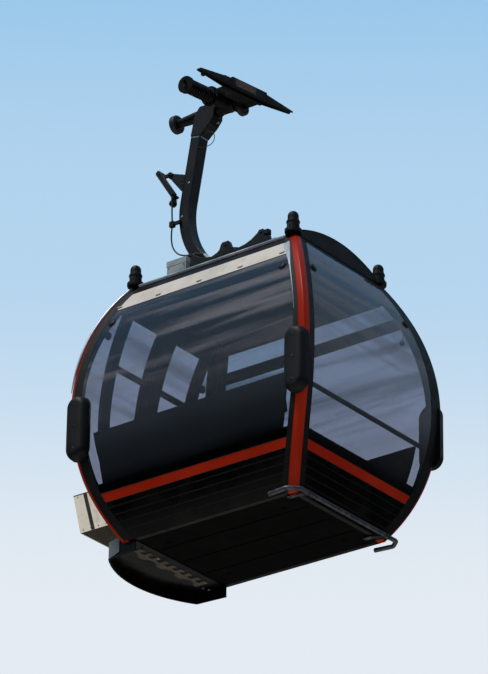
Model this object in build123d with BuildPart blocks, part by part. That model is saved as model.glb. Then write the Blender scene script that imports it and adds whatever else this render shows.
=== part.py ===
"""Cable car cabin for a circulating ropeway: rope grip, bowed hanger arm and ten-seat barrel cabin.

Millimetres. +X runs along the rope (level part of its direction), +Y points to the door side, +Z is up.
The origin is on the rope's axis, in the plane of the hanger arm. The cabin hangs plumb; the rope and the
grip on it climb towards +X. Heights inside the cabin are counted from the mid-height of its corner posts.
"""
import os
from math import cos, pi, radians, sin, sqrt, tan

from build123d import *

os.makedirs("parts", exist_ok=True)

# Cabin envelope, measured at mid-height, a quarter up and down, and at the post ends
mid_drop = 2936.0            # rope axis down to the mid-height of the corner posts
post_rise = 1125.0           # mid-height to the top of a post
quarter_rise = 562.5         # where the quarter widths are measured
skirt_past = 31.0            # foot of a post, where the profiles end, to the bottom edge of the walls
skirt_drop = post_rise + skirt_past
door_half = 532.0            # half width of the doorway
past_mid = 398.0             # how far the ends stand past the doorway's edge at mid-height
past_up, past_up_end = 332.0, 76.0         # the same a quarter up and at the top of a post
past_down, past_down_end = 344.0, 110.0    # the same a quarter down and at the foot of a post
end_profile = {              # half length
    "mid": door_half + past_mid,
    "up": (door_half + past_up, door_half + past_up_end),
    "down": (door_half + past_down, door_half + past_down_end),
}
side_profile = {"mid": 1200.0, "up": (1121.0, 864.0), "down": (1127.0, 890.0)}  # half width, the same way

# Wall build-up, counted inwards from the barrel surface
skin = 6.0                   # glass, stripe and sheet thickness
bond_gap = 0.3               # glue line behind the skins and gap between neighbouring skins
wall_depth = 42.0            # inner face of the wall frames
post_width = 66.0            # corner post, square, measured on each face
edge_gap = 1.0               # rubber gap between a post and the panels beside it
frame_width = 52.0           # blackened border between a post and a window's clear opening

# Bands on the faces, heights from mid-height; the upper ones are counted down from the top of a post
stripe_top, stripe_bottom = -779.0, -855.0
window_low = -700.0
# end: top of the window, the opening above it, the sheet or pane over that, underside of the cap strip
end_drops = {
    "a": {"window": 285.0, "vent": (225.0, 92.0), "cover": (240.0, 77.0), "cap": 76.0},
    "b": {"window": 325.0, "vent": (250.0, 115.0), "cover": (287.0, 7.0), "cap": 6.0},
}
side_glass_drop, side_window_drop, door_pane_drop = 40.0, 95.0, 125.0
side_glass_high = post_rise - side_glass_drop
side_window_high, door_pane_high = post_rise - side_window_drop, post_rise - door_pane_drop
roof_thick = 25.0
roof_low, roof_high = post_rise + bond_gap, post_rise + roof_thick
floor_rise = 56.0
floor_top = floor_rise - skirt_drop

# Doors
door_step, door_drop = 90.0, 59.0        # bottom edge of the walls up to the doorway, and post top down to it
door_low, door_high = door_step - skirt_drop, post_rise - door_drop
leaf_gap = 8.0               # round a leaf
meeting_gap = 10.0           # between the two leaves
leaf_glass_drop, leaf_frame = 81.0, 40.0                 # leaf's top to its glass, and on to its window
leaf_glass_high = door_high - leaf_glass_drop
leaf_window_near, leaf_window_far = 118.0, 462.0
leaf_windows = [(window_low, 515.0), (550.0, leaf_glass_high - leaf_frame)]     # bottom and top of each opening
pane_past_door = 42.0        # doorway's edge to the fixed pane beside it
door_arm_reach = 250.0       # pivot to pivot
door_pivot_x, door_pivot_y = 340.0, 720.0
door_pin_r = 12.0
running_gap = 0.08           # radial clearance of every shaft in its hole

# Rope, grip and hanger
rope_d = 46.0
rope_slope = 7.0             # degrees, climbing towards +X
jaw_from, jaw_to = -450.0, 80.0
nose_length = 380.0
swing_rise = 45.0            # hanger shaft above the rope axis, square to the rope
shaft_r = 32.0
arm_depth, arm_width = 100.0, 110.0
arm_radius = 720.0           # bend of the arm's centre line
arm_lean = 9.8               # degrees that the straight arm leans outwards on its way down
arm_top_y, arm_top_z = 634.0, -165.0
arm_foot_rise = 177.5        # centre line of the arm's level foot above the roof
roller_outer = {"y": 886.0, "z": swing_rise, "r": 82.0, "width": 55.0}
roller_inner = {"y": 180.0, "z": -17.0, "r": 72.0, "width": 50.0}

mid_z = -mid_drop
roof_z = mid_z + roof_high
reach = 2 * side_profile["mid"]      # longer than the cabin, for cuts that go right through
swing_x = -swing_rise * sin(radians(rope_slope))
swing_z = swing_rise * cos(radians(rope_slope))
pieces = {}


def half_at(profile, z):
    """Half length or width of the barrel at height z: two arcs, upright at mid-height, tangent at a quarter."""
    quarter, end = profile["up"] if z >= 0 else profile["down"]
    sink = profile["mid"] - quarter
    first_r = (quarter_rise**2 + sink**2) / (2 * sink)
    if abs(z) <= quarter_rise:
        return profile["mid"] - first_r + sqrt(first_r**2 - z**2)
    ux, uz = (quarter - profile["mid"] + first_r) / first_r, quarter_rise / first_r
    dx, dz = end - quarter, post_rise - quarter_rise
    second_r = -(dx**2 + dz**2) / (2 * (dx * ux + dz * uz))
    centre_x, centre_z = quarter - second_r * ux, quarter_rise - second_r * uz
    return centre_x + sqrt(second_r**2 - (abs(z) - centre_z) ** 2)


def barrel_edge(profile, inset, low, high, side):
    """Arcs of one barrel edge from low to high, drawn into the open BuildLine."""
    stops = [low] + [z for z in (-quarter_rise, 0.0, quarter_rise) if low < z < high] + [high]
    for start, stop in zip(stops, stops[1:]):
        points = [(side * (half_at(profile, z) - inset), mid_z + z) for z in (start, (start + stop) / 2, stop)]
        ThreePointArc(*points)


def barrel_outline(profile, inset, low, high):
    """Closed outline across the whole barrel, inset by so much on both sides."""
    for side in (1, -1):
        barrel_edge(profile, inset, low, high, side)
    for z in (low, high):
        half = half_at(profile, z) - inset
        Line((-half, mid_z + z), (half, mid_z + z))


def shell_outline(profile, outer, inner, low, high, side):
    """Closed outline of the wall's thickness on one side, between two insets."""
    for inset in (outer, inner):
        barrel_edge(profile, inset, low, high, side)
    for z in (low, high):
        half = half_at(profile, z)
        Line((side * (half - outer), mid_z + z), (side * (half - inner), mid_z + z))


# face: plane of its own profile, own profile, side, plane across, profile across
faces = {
    "end_a": (Plane.XZ, end_profile, -1, Plane.YZ, side_profile),
    "end_b": (Plane.XZ, end_profile, 1, Plane.YZ, side_profile),
    "side_a": (Plane.YZ, side_profile, -1, Plane.XZ, end_profile),
    "side_b": (Plane.YZ, side_profile, 1, Plane.XZ, end_profile),
}


def panel(face, outer, inner, margin, low, high):
    """Curved panel of one face, thick from one inset to the other, its edges a margin off the corner."""
    own_plane, own, side, across_plane, across = faces[face]
    with BuildPart() as shell:
        with BuildSketch(own_plane):
            with BuildLine():
                shell_outline(own, outer, inner, low, high, side)
            make_face()
        extrude(amount=reach, both=True)
        with BuildSketch(across_plane):
            with BuildLine():
                barrel_outline(across, margin, low, high)
            make_face()
        extrude(amount=reach, both=True, mode=Mode.INTERSECT)
    return shell.part


def bar(x0, x1, y0, y1, z0, z1, mode=Mode.ADD):
    """Box between two corners, added to the open part."""
    with Locations(((x0 + x1) / 2, (y0 + y1) / 2, (z0 + z1) / 2)):
        Box(x1 - x0, y1 - y0, z1 - z0, mode=mode)


def rod(start, stop, radius, mode=Mode.ADD):
    """Round bar from one point to another, added to the open part."""
    path = Vector(*stop) - Vector(*start)
    with BuildSketch(Plane(origin=start, z_dir=path)) as section:
        Circle(radius)
    extrude(section.sketch, amount=path.length, mode=mode)


def on_rope(piece):
    """A grip piece is drawn with the rope level, then climbs with it."""
    return piece.rotate(Axis.Y, -rope_slope)


# Grip body: fixed jaw, hinge lugs, casting that reaches out to the shaft housing, spring barrel
jaw_side, jaw_under, jaw_split, jaw_top = 52.0, -14.0, -2.0, 38.0
hinge_y, hinge_z, jaw_pin_r, knuckle_r = 34.0, 74.0, 9.0, 17.0
lug_thick, lug_near_y, lug_rise = 20.0, 8.0, 18.0
block_from, block_to, block_far_y = -290.0, 50.0, 140.0
bridge_from, bridge_low, bridge_top, bridge_near_y = -235.0, 70.0, 118.0, 62.0
housing_from, housing_to, housing_r = 235.0, 428.0, 62.0
spring_y, spring_z = 320.0, 55.0
flange_x, spring_end, barrel_r, barrel_length = -250.0, -590.0, 58.0, 300.0
stub_r = 20.0                # the inner roller's shaft
roller_gap, cap_thick = 5.0, 8.0
outer_cap_y = roller_outer["y"] + roller_outer["width"] / 2 + roller_gap
inner_cap_y = roller_inner["y"] + roller_inner["width"] / 2 + roller_gap
shaft_end = outer_cap_y + cap_thick + 1
stub_end = inner_cap_y + cap_thick + 1

with BuildPart() as grip_body:
    bar(jaw_from, jaw_to, jaw_split, jaw_side, jaw_under, jaw_top)
    for lug_x in (jaw_from, jaw_to - lug_thick):
        bar(lug_x, lug_x + lug_thick, lug_near_y, bridge_near_y - 2, jaw_top - 4, hinge_z + lug_rise)
    bar(block_from, block_to, jaw_side - 2, block_far_y, jaw_under, jaw_top + 8)
    bar(bridge_from, block_to, bridge_near_y, block_far_y, jaw_top, bridge_top)
    bar(bridge_from, block_to, block_far_y - 10, housing_to, bridge_low, bridge_top)
    rod((flange_x, spring_y, spring_z), (flange_x + barrel_length, spring_y, spring_z), barrel_r)
    rod((0, housing_from, swing_rise), (0, housing_to, swing_rise), housing_r)
    rod((0, housing_to - 8, swing_rise), (0, shaft_end, swing_rise), shaft_r)
    rod((0, block_far_y, roller_inner["z"]), (0, stub_end, roller_inner["z"]), stub_r)
    rod((jaw_from, 0, 0), (jaw_to, 0, 0), rope_d / 2, mode=Mode.SUBTRACT)
    rod((jaw_from, hinge_y, hinge_z), (jaw_to, hinge_y, hinge_z), jaw_pin_r)
pieces["grip_body"] = on_rope(grip_body.part)

# Moving jaw, hinged over the rope between the lugs
jaw_inset, cheek_gap, cheek_drop = 26.0, 6.0, 8.0
cheek_from, cheek_to, cheek_top = jaw_from + jaw_inset, jaw_to - jaw_inset, hinge_z - cheek_drop
with BuildPart() as grip_jaw:
    bar(cheek_from, cheek_to, -jaw_side, jaw_split - cheek_gap, jaw_under, cheek_top)
    bar(cheek_from, cheek_to, -jaw_side, hinge_y, jaw_top + cheek_gap, cheek_top)
    rod((cheek_from, hinge_y, hinge_z), (cheek_to, hinge_y, hinge_z), knuckle_r)
    rod((jaw_from, 0, 0), (jaw_to, 0, 0), rope_d / 2, mode=Mode.SUBTRACT)
    rod((jaw_from, hinge_y, hinge_z), (jaw_to, hinge_y, hinge_z), jaw_pin_r + running_gap, mode=Mode.SUBTRACT)
pieces["grip_jaw"] = on_rope(grip_jaw.part)

# Tongues that lead the sheaves onto the jaws: width, height, height of the middle
nose_root, nose_tip = (76.0, 68.0, 24.0), (44.0, 14.0, 22.0)
with BuildPart() as grip_noses:
    for start_x, way in ((jaw_from, -1), (jaw_to, 1)):
        for along, (width, height, middle) in ((bond_gap, nose_root), (nose_length, nose_tip)):
            with BuildSketch(Plane.YZ.offset(start_x + way * along)):
                with Locations((0, middle)):
                    Rectangle(width, height)
        loft()
    rod((jaw_from - 2 * nose_length, 0, 0), (jaw_to + 2 * nose_length, 0, 0), rope_d / 2 + 1, mode=Mode.SUBTRACT)
pieces["grip_noses"] = on_rope(grip_noses.part)

# Coil spring and the plates at its ends
coil_r, coil_wire, coil_count = 57.0, 8.5, 10
cap_r, cap_sheet, flange_r, flange_sheet = 76.0, 26.0, 88.0, 15.7
nub_r, nub_length, nub_rise = 13.0, 32.0, 26.0
spring_from, spring_to = spring_end + 12.0, flange_x - flange_sheet - bond_gap
with BuildPart() as grip_spring:
    pitch = (spring_to - spring_from) / coil_count
    rod((spring_from, spring_y, spring_z), (spring_to, spring_y, spring_z), coil_r - 3)
    for turn in range(coil_count):
        with Locations(Location((spring_from + (turn + 0.5) * pitch, spring_y, spring_z), (0, 90, 0))):
            Torus(coil_r, coil_wire)
pieces["grip_spring"] = on_rope(grip_spring.part)

with BuildPart() as spring_seats:
    cap_to = spring_from - bond_gap
    nub_to = cap_to - cap_sheet
    rod((nub_to, spring_y, spring_z), (cap_to, spring_y, spring_z), cap_r)
    rod((nub_to - nub_length, spring_y, spring_z + nub_rise), (nub_to, spring_y, spring_z + nub_rise), nub_r)
    rod((spring_to + bond_gap, spring_y, spring_z), (flange_x - bond_gap, spring_y, spring_z), flange_r)
pieces["spring_seats"] = on_rope(spring_seats.part)

for name, wheel, bore in (("roller_outer", roller_outer, shaft_r), ("roller_inner", roller_inner, stub_r)):
    with BuildPart() as roller:
        with BuildSketch(Plane.XZ.offset(-wheel["y"])):
            with Locations((0, wheel["z"])):
                Circle(wheel["r"])
                Circle(bore + running_gap, mode=Mode.SUBTRACT)
        extrude(amount=wheel["width"] / 2, both=True)
        chamfer(roller.edges().filter_by(GeomType.CIRCLE).group_by(SortBy.RADIUS)[-1], 7)
    pieces[name] = on_rope(roller.part)

# Collar on the shaft between the hanger head and the outer roller, and the caps that hold the rollers
head_near, head_far, head_boss_r = 433.0, 655.0, 50.0
collar_from = head_far + 7.0
collar_to = roller_outer["y"] - roller_outer["width"] / 2 - roller_gap
collar_root_r, collar_tip_r, outer_cap_r, inner_cap_r = 50.0, 38.0, 44.0, 30.0
inner_z = roller_inner["z"]
with BuildPart() as shaft_collars:
    for at_y, radius in ((collar_from, collar_root_r), (collar_to, collar_tip_r)):
        with BuildSketch(Plane.XZ.offset(-at_y)):
            with Locations((0, swing_rise)):
                Circle(radius)
    loft()
    rod((0, collar_from - 1, swing_rise), (0, collar_to + 1, swing_rise), shaft_r, mode=Mode.SUBTRACT)
    rod((0, outer_cap_y, swing_rise), (0, shaft_end + 3, swing_rise), outer_cap_r)
    rod((0, outer_cap_y - 1, swing_rise), (0, shaft_end, swing_rise), shaft_r, mode=Mode.SUBTRACT)
    rod((0, inner_cap_y, inner_z), (0, stub_end + 2, inner_z), inner_cap_r)
    rod((0, inner_cap_y - 1, inner_z), (0, stub_end, inner_z), stub_r, mode=Mode.SUBTRACT)
pieces["shaft_collars"] = on_rope(shaft_collars.part)

# Hanger head and bowed arm, in the plane X = 0
lean_y, lean_z = sin(radians(arm_lean)), -cos(radians(arm_lean))
bend_start_z = roof_z + arm_foot_rise + arm_radius * (1 + lean_y)
bend_start_y = arm_top_y + (bend_start_z - arm_top_z) * lean_y / lean_z
bend_centre = (bend_start_y + arm_radius * lean_z, bend_start_z - arm_radius * lean_y)
half_depth = arm_depth / 2
outer_top = (arm_top_y - half_depth * lean_z, arm_top_z + half_depth * lean_y)
inner_top = (arm_top_y + half_depth * lean_z, arm_top_z - half_depth * lean_y)
head_outline = [(486.0, -90.0), (440.0, -30.0), (437.0, 50.0), (467.0, 95.0), (590.0, 100.0), (640.0, 40.0)]
head_half = 64.0
foot_y = -150.0

with BuildPart() as hanger_head:
    with BuildSketch(Plane.YZ):
        with BuildLine():
            Polyline(inner_top, *head_outline, outer_top, close=True)
        make_face()
    extrude(amount=head_half, both=True)
    rod((swing_x, head_near, swing_z), (swing_x, head_far, swing_z), head_boss_r)
    rod((swing_x, head_near - 1, swing_z), (swing_x, head_far + 1, swing_z), shaft_r + running_gap,
        mode=Mode.SUBTRACT)
pieces["hanger_head"] = hanger_head.part


def on_bend(radius, angle):
    """Y, Z of a point on the arm's bend, angle in degrees from the outward horizontal."""
    return (bend_centre[0] + radius * cos(radians(angle)), bend_centre[1] + radius * sin(radians(angle)))


def arm_outer_y(z):
    """Y of the straight arm's outer face at height z, a hair off the steel."""
    return arm_top_y + (z - arm_top_z) * lean_y / lean_z + half_depth / cos(radians(arm_lean)) + bond_gap


with BuildPart() as hanger_arm:
    with BuildSketch(Plane.YZ):
        with BuildLine():
            foot_ends = []
            for radius, top in ((arm_radius + half_depth, outer_top), (arm_radius - half_depth, inner_top)):
                foot_ends.append((foot_y, on_bend(radius, -90)[1]))
                Line(top, on_bend(radius, arm_lean))
                ThreePointArc(on_bend(radius, arm_lean), on_bend(radius, -40), on_bend(radius, -90))
                Line(on_bend(radius, -90), foot_ends[-1])
            Line(outer_top, inner_top)
            Line(*foot_ends)
        make_face()
    extrude(amount=arm_width / 2, both=True)
pieces["hanger_arm"] = hanger_arm.part

# Suspension frame: hub under the arm's foot, two runners, two end beams with a rubber foot at each end
arm_under = roof_z + arm_foot_rise - half_depth
beam_stand, beam_depth, beam_in, beam_half, beam_reach = 62.0, 50.0, 188.0, 32.0, 540.0
beam_low, beam_high = roof_z + beam_stand, roof_z + beam_stand + beam_depth
beam_x = half_at(end_profile, post_rise) - beam_in
runner_y, runner_half = 120.0, 28.0
hub_half, hub_from, hub_to = 95.0, -170.0, 150.0
foot_pad_y, foot_pad_r = 430.0, 48.0
post_r, knob_r, knob_low, knob_high = 20.0, 30.0, 185.0, 222.0      # bolts over the pads
crest_half, crest_high, crest_sheet = 210.0, 180.0, 24.0            # arched plate on each end beam
with BuildPart() as suspension_frame:
    bar(-hub_half, hub_half, hub_from, hub_to, beam_low, arm_under)
    for side in (-1, 1):
        bar(-beam_x, beam_x, side * runner_y - runner_half, side * runner_y + runner_half, beam_low, beam_high)
        bar(side * beam_x - beam_half, side * beam_x + beam_half, -beam_reach, beam_reach, beam_low, beam_high)
        for pad_y in (-foot_pad_y, foot_pad_y):
            rod((side * beam_x, pad_y, beam_high - 1), (side * beam_x, pad_y, roof_z + knob_low + 1), post_r)
            rod((side * beam_x, pad_y, roof_z + knob_low), (side * beam_x, pad_y, roof_z + knob_high), knob_r)
        with BuildSketch(Plane.YZ.offset(side * beam_x)):
            with BuildLine():
                crest_ends = ((-crest_half, beam_high - 1), (crest_half, beam_high - 1))
                ThreePointArc(crest_ends[0], (0, roof_z + crest_high), crest_ends[1])
                Line(*crest_ends)
            make_face()
        extrude(amount=crest_sheet / 2, both=True)
pieces["suspension_frame"] = suspension_frame.part

with BuildPart() as frame_pads:
    for x in (-beam_x, beam_x):
        for y in (-foot_pad_y, foot_pad_y):
            rod((x, y, roof_z), (x, y, beam_low), foot_pad_r)
pieces["frame_pads"] = frame_pads.part

# Door-opening lever, on a bracket bolted to the arm's outer face; its points count out from the arm and up
plate_z, plate_half, lever_x, bracket_sheet = -570.0, 70.0, -20.0, 24.0
plate_y = arm_outer_y(plate_z)
bracket_tip = [(185.0, 145.0), (190.0, 115.0), (45.0, -70.0)]
lever_shape = [(285.0, 185.0), (307.0, 170.0), (125.0, -110.0), (97.0, -95.0)]
lever_sheet = 14.0
fork_far, fork_near, fork_far_r, fork_near_r = (275.0, 158.0), (170.0, 122.0), 15.0, 17.0
cable_pin, cable_pin_r, cable_pin_reach = (107.0, -102.0), 12.0, 62.0
ball_at, ball_r, ball_width = (148.0, -152.0), 28.0, 42.0


def at_lever(x, point):
    """Place of a point of the lever's outlines, x counted from the bracket's middle."""
    return (lever_x + x, plate_y + point[0], plate_z + point[1])


with BuildPart() as door_lever:
    with BuildSketch(Plane.YZ.offset(lever_x)):
        with BuildLine():
            Polyline((arm_outer_y(plate_z + plate_half), plate_z + plate_half),
                     *[at_lever(0, point)[1:] for point in bracket_tip],
                     (arm_outer_y(plate_z - plate_half), plate_z - plate_half), close=True)
        make_face()
    extrude(amount=bracket_sheet / 2, both=True)
    lever_face = -bracket_sheet / 2 - lever_sheet
    with BuildSketch(Plane.YZ.offset(lever_x + lever_face)):
        with BuildLine():
            Polyline(*[at_lever(0, point)[1:] for point in lever_shape], close=True)
        make_face()
    extrude(amount=lever_sheet)
    rod(at_lever(lever_face, fork_far), at_lever(-lever_face - 6, fork_far), fork_far_r)
    rod(at_lever(lever_face, fork_near), at_lever(-lever_face - 6, fork_near), fork_near_r)
    low, high = at_lever(-bracket_sheet / 2, fork_near), at_lever(bracket_sheet / 2, fork_far)
    bar(low[0], high[0], low[1], high[1], low[2] - 4, low[2] + bracket_sheet)
    rod(at_lever(-cable_pin_reach, cable_pin), at_lever(bracket_sheet, cable_pin), cable_pin_r)
    rod(at_lever(-bracket_sheet / 2, ball_at), at_lever(ball_width - bracket_sheet / 2, ball_at), ball_r)
    low, high = at_lever(-bracket_sheet / 2, ball_at), at_lever(2, cable_pin)
    bar(low[0], high[0], high[1] - 6, low[1], low[2] - 4, high[2] + 6)
pieces["door_lever"] = door_lever.part

# Door cable, from the lever down the arm to the drive on the roof
cable_r = 7.0
cable_x = -72.0
drive_height = 80.0
drive_from_y, drive_to_y, drive_half = 380.0, 650.0, 110.0
cable_points = [
    (cable_x, 862, -684.5), (cable_x, 866, -830), (cable_x, 856, -960), (cable_x, 868, -1080),
    (cable_x, 850, -1190), (cable_x, 790, -1270), (cable_x, 700, -1310), (cable_x, 590, -1318),
    (cable_x, 500, -1350), (cable_x, 440, -1430), (cable_x, 420, -1530), (cable_x, 430, -1620),
    (cable_x, 430, roof_z + drive_height + bond_gap),
]
turn_radii = []
for before, here, after in zip(cable_points, cable_points[1:], cable_points[2:]):
    first, second = Vector(*here) - Vector(*before), Vector(*after) - Vector(*here)
    turn_radii.append(0.45 * min(first.length, second.length) / tan(radians(first.get_angle(second) / 2)))
print("door cable bend radii:", [round(radius) for radius in turn_radii])
with BuildPart() as door_cable:
    with BuildLine() as cable_path:
        FilletPolyline(*cable_points, radius=turn_radii)
    start_plane = Plane(origin=cable_points[0], z_dir=Vector(*cable_points[1]) - Vector(*cable_points[0]))
    with BuildSketch(start_plane):
        Circle(cable_r)
    sweep(path=cable_path.wires()[0])
pieces["door_cable"] = door_cable.part
cable_length = cable_path.wires()[0].length
print("door cable length", round(cable_length), "volume over section times length:",
      round(door_cable.part.volume / (pi * cable_r**2 * cable_length), 4))

# clip: Y from, Y to, Z from, Z to
clip_table = [(770.0, 874.0, -972.0, -948.0), (630.0, 652.0, -1334.0, -1294.0)]
with BuildPart() as cable_clips:
    for y0, y1, z0, z1 in clip_table:
        bar(cable_x - cable_r - 5, -arm_width / 2 - bond_gap, y0, y1, z0, z1)
    add(door_cable.part, mode=Mode.SUBTRACT)
pieces["cable_clips"] = cable_clips.part

# Roof panel, edge rails, side fairing and equipment box
roof_inset, roof_chamfer = 14.0, 10.0
roof_x = half_at(end_profile, post_rise) - roof_inset
roof_y = half_at(side_profile, post_rise) - roof_inset
with BuildPart() as roof_panel:
    bar(-roof_x, roof_x, -roof_y, roof_y, mid_z + roof_low, roof_z)
    chamfer(roof_panel.faces().sort_by(Axis.Z)[-1].edges(), roof_chamfer)
pieces["roof_panel"] = roof_panel.part

rail_r, rail_short = 11.5, 90.0
with BuildPart() as roof_rails:
    rail_x = half_at(end_profile, post_rise) - 2
    rail_z = mid_z + post_rise + rail_r + 1.3
    for x in (-rail_x, rail_x):
        rod((x, -roof_y + rail_short, rail_z), (x, roof_y - rail_short, rail_z), rail_r)
pieces["roof_rails"] = roof_rails.part

fairing_in, fairing_low, fairing_top, fairing_sheet = 24.0, 60.0, 168.0, 24.0
buffer_flange_r, buffer_inset_x, buffer_inset_y = 70.0, 18.0, 44.0      # buffers' middles, in from the posts' top
buffer_x = half_at(end_profile, post_rise) - buffer_inset_x
buffer_y = half_at(side_profile, post_rise) - buffer_inset_y
fairing_y, fairing_half = roof_y - fairing_in, buffer_x - buffer_flange_r
with BuildPart() as side_fairing:
    with BuildSketch(Plane.XZ.offset(fairing_y - fairing_sheet / 2)):
        with BuildLine():
            ThreePointArc((-fairing_half, roof_z + fairing_low), (0, roof_z + fairing_top),
                          (fairing_half, roof_z + fairing_low))
            Polyline((fairing_half, roof_z + fairing_low), (fairing_half, roof_z), (-fairing_half, roof_z),
                     (-fairing_half, roof_z + fairing_low))
        make_face()
    extrude(amount=fairing_sheet)
pieces["side_fairing"] = side_fairing.part

box_in, box_depth, box_from_y, box_to_y, box_rise = 34.0, 50.0, 310.0, 510.0, 125.0
with BuildPart() as roof_box:
    bar(box_in - roof_x, box_in - roof_x + box_depth, box_from_y, box_to_y, roof_z, roof_z + box_rise)
    chamfer(roof_box.edges().filter_by(Axis.X).sort_by(Axis.Z)[-2:], 6)
pieces["roof_box"] = roof_box.part

# Roof buffers: radius and height of each corner of the turned shape, then the dome
buffer_dome_r, buffer_dome_z = 46.0, 158.0
buffer_profile = [(0, bond_gap), (66, bond_gap), (buffer_flange_r, 10), (buffer_flange_r, 36), (52, 42), (52, 120),
                  (buffer_dome_r, 128), (buffer_dome_r, buffer_dome_z)]
with BuildPart() as one_buffer:
    with BuildSketch(Plane.XZ):
        with BuildLine():
            Polyline(*buffer_profile)
            diagonal = buffer_dome_r * sin(radians(45))
            dome_top = (0, buffer_dome_z + buffer_dome_r)
            ThreePointArc(buffer_profile[-1], (diagonal, buffer_dome_z + diagonal), dome_top)
            Line(dome_top, buffer_profile[0])
        make_face()
    revolve(axis=Axis.Z)
corners = [(sx, sy) for sx in (-1, 1) for sy in (-1, 1)]
with BuildPart() as roof_buffers:
    with Locations(*[(sx * buffer_x, sy * buffer_y, roof_z) for sx, sy in corners]):
        add(one_buffer.part)
pieces["roof_buffers"] = roof_buffers.part

# Door drive on the roof: gearbox and the plate with the pins that the door arms turn on
arm_low, arm_thick, arm_half, bracket_thick, pivot_gap = 26.0, 16.0, 26.0, 14.0, 5.0
drive_plate, plate_margin_x, plate_margin_y = 20.0, 60.0, 50.0
with BuildPart() as door_drive:
    bar(-drive_half, drive_half, drive_from_y, drive_to_y, roof_z, roof_z + drive_height)
    bar(-door_pivot_x - plate_margin_x, door_pivot_x + plate_margin_x, drive_to_y - 2,
        door_pivot_y + plate_margin_y, roof_z, roof_z + drive_plate)
    for side in (-1, 1):
        rod((side * door_pivot_x, door_pivot_y, roof_z + drive_plate - 1),
            (side * door_pivot_x, door_pivot_y, roof_z + arm_low + arm_thick + 6), door_pin_r)
pieces["door_drive"] = door_drive.part


# Corner posts and their rubber bumpers
def crossed_profiles(draw_end, draw_side):
    """Solid that both outlines share: one drawn along the rope and one across it, each run right through."""
    with BuildPart() as solid:
        for plane, draw, mode in ((Plane.XZ, draw_end, Mode.ADD), (Plane.YZ, draw_side, Mode.INTERSECT)):
            with BuildSketch(plane):
                with BuildLine():
                    draw()
                make_face()
            extrude(amount=reach, both=True, mode=mode)
    return solid.part


def barrel(inset, low, high):
    """Whole barrel between two heights, inset all round."""
    return crossed_profiles(lambda: barrel_outline(end_profile, inset, low, high),
                            lambda: barrel_outline(side_profile, inset, low, high))


with BuildPart() as corner_posts:
    for sx, sy in corners:
        add(crossed_profiles(lambda: shell_outline(end_profile, 0, post_width, -skirt_drop, post_rise, sx),
                             lambda: shell_outline(side_profile, 0, post_width, -skirt_drop, post_rise, sy)))
pieces["corner_posts"] = corner_posts.part

outer_barrel = barrel(-bond_gap, -skirt_drop, post_rise)
bumper_z, bumper_height, bumper_width, bumper_stand, bumper_edge = -190.0, 580.0, 200.0, 64.0, 34.0
bumper_in, bumper_wrap = 80.0, 30.0      # middle of a bumper in from the corner, and how far it goes round it


def bumper(sx, sy):
    """Pad on the end face beside one corner, rounded on its outer edge and hollowed to the barrel behind."""
    at = Vector(sx * half_at(end_profile, bumper_z), sy * (half_at(side_profile, bumper_z) - bumper_in),
                mid_z + bumper_z)
    out = Vector(sx, 0, 0)
    with BuildPart() as pad:
        with BuildSketch(Plane(origin=at + out * bumper_stand, x_dir=(0, 0, 1), z_dir=out)):
            SlotOverall(bumper_height, bumper_width)
        extrude(amount=-bumper_stand - bumper_wrap)
        fillet(pad.faces().sort_by(Axis(tuple(at), tuple(out)))[-1].edges(), bumper_edge)
        add(outer_barrel, mode=Mode.SUBTRACT)
    return pad.part


with BuildPart() as corner_bumpers:
    for sx, sy in corners:
        add(bumper(sx, sy))
pieces["corner_bumpers"] = corner_bumpers.part

# Wall frames: bordered openings, with a thicker skirt under the stripe and a cap strip under the roof
margin = post_width + edge_gap
clear = post_width + frame_width
door_side_y = side_profile["up"][1] / 2      # everything of the door side lies beyond it
end_bands = {
    end: {
        "window": post_rise - drops["window"],
        "vent": [post_rise - drop for drop in drops["vent"]],
        "cover": [post_rise - drop for drop in drops["cover"]],
        "cap": post_rise - drops["cap"],
    }
    for end, drops in end_drops.items()
}
# face: bottom and top of each opening, underside of the cap strip
wall_table = {
    "end_a": ([(window_low, end_bands["a"]["window"]), end_bands["a"]["vent"]], end_bands["a"]["cap"]),
    "end_b": ([(window_low, end_bands["b"]["window"]), end_bands["b"]["vent"]], end_bands["b"]["cap"]),
    "side_a": ([(window_low, side_window_high)], side_glass_high + 2),
    "side_b": ([(window_low, door_pane_high)], side_glass_high + 2),
}


def doorway(half, low, high):
    """Straight block through the door wall, for cutting the doorway or keeping what lies beside it."""
    with BuildPart() as block:
        bar(-half, half, door_side_y, reach, mid_z + low, mid_z + high)
    return block.part


def window(face, low, high):
    """Block through the wall for one opening, kept off the doorway on the door side."""
    with BuildPart() as block:
        add(panel(face, -wall_depth, 2 * wall_depth, clear, low, high))
        if face == "side_b":
            add(doorway(door_half + pane_past_door, low, high), mode=Mode.SUBTRACT)
    return block.part


for face, (openings, strip_low) in wall_table.items():
    with BuildPart() as wall:
        add(panel(face, skin + bond_gap, wall_depth, margin, -skirt_drop, post_rise))
        add(panel(face, 0, wall_depth, margin, -skirt_drop, stripe_bottom - 2))
        add(panel(face, 0, wall_depth, margin, strip_low, post_rise))
        for low, high in openings:
            add(window(face, low, high), mode=Mode.SUBTRACT)
        if face == "side_b":
            add(doorway(door_half, door_low, door_high), mode=Mode.SUBTRACT)
    pieces["wall_" + face] = wall.part

# Skins bonded on the frames: glass, orange stripes, aluminium top sheet, vent pane
glass_low = stripe_top + 2 * bond_gap
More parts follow.
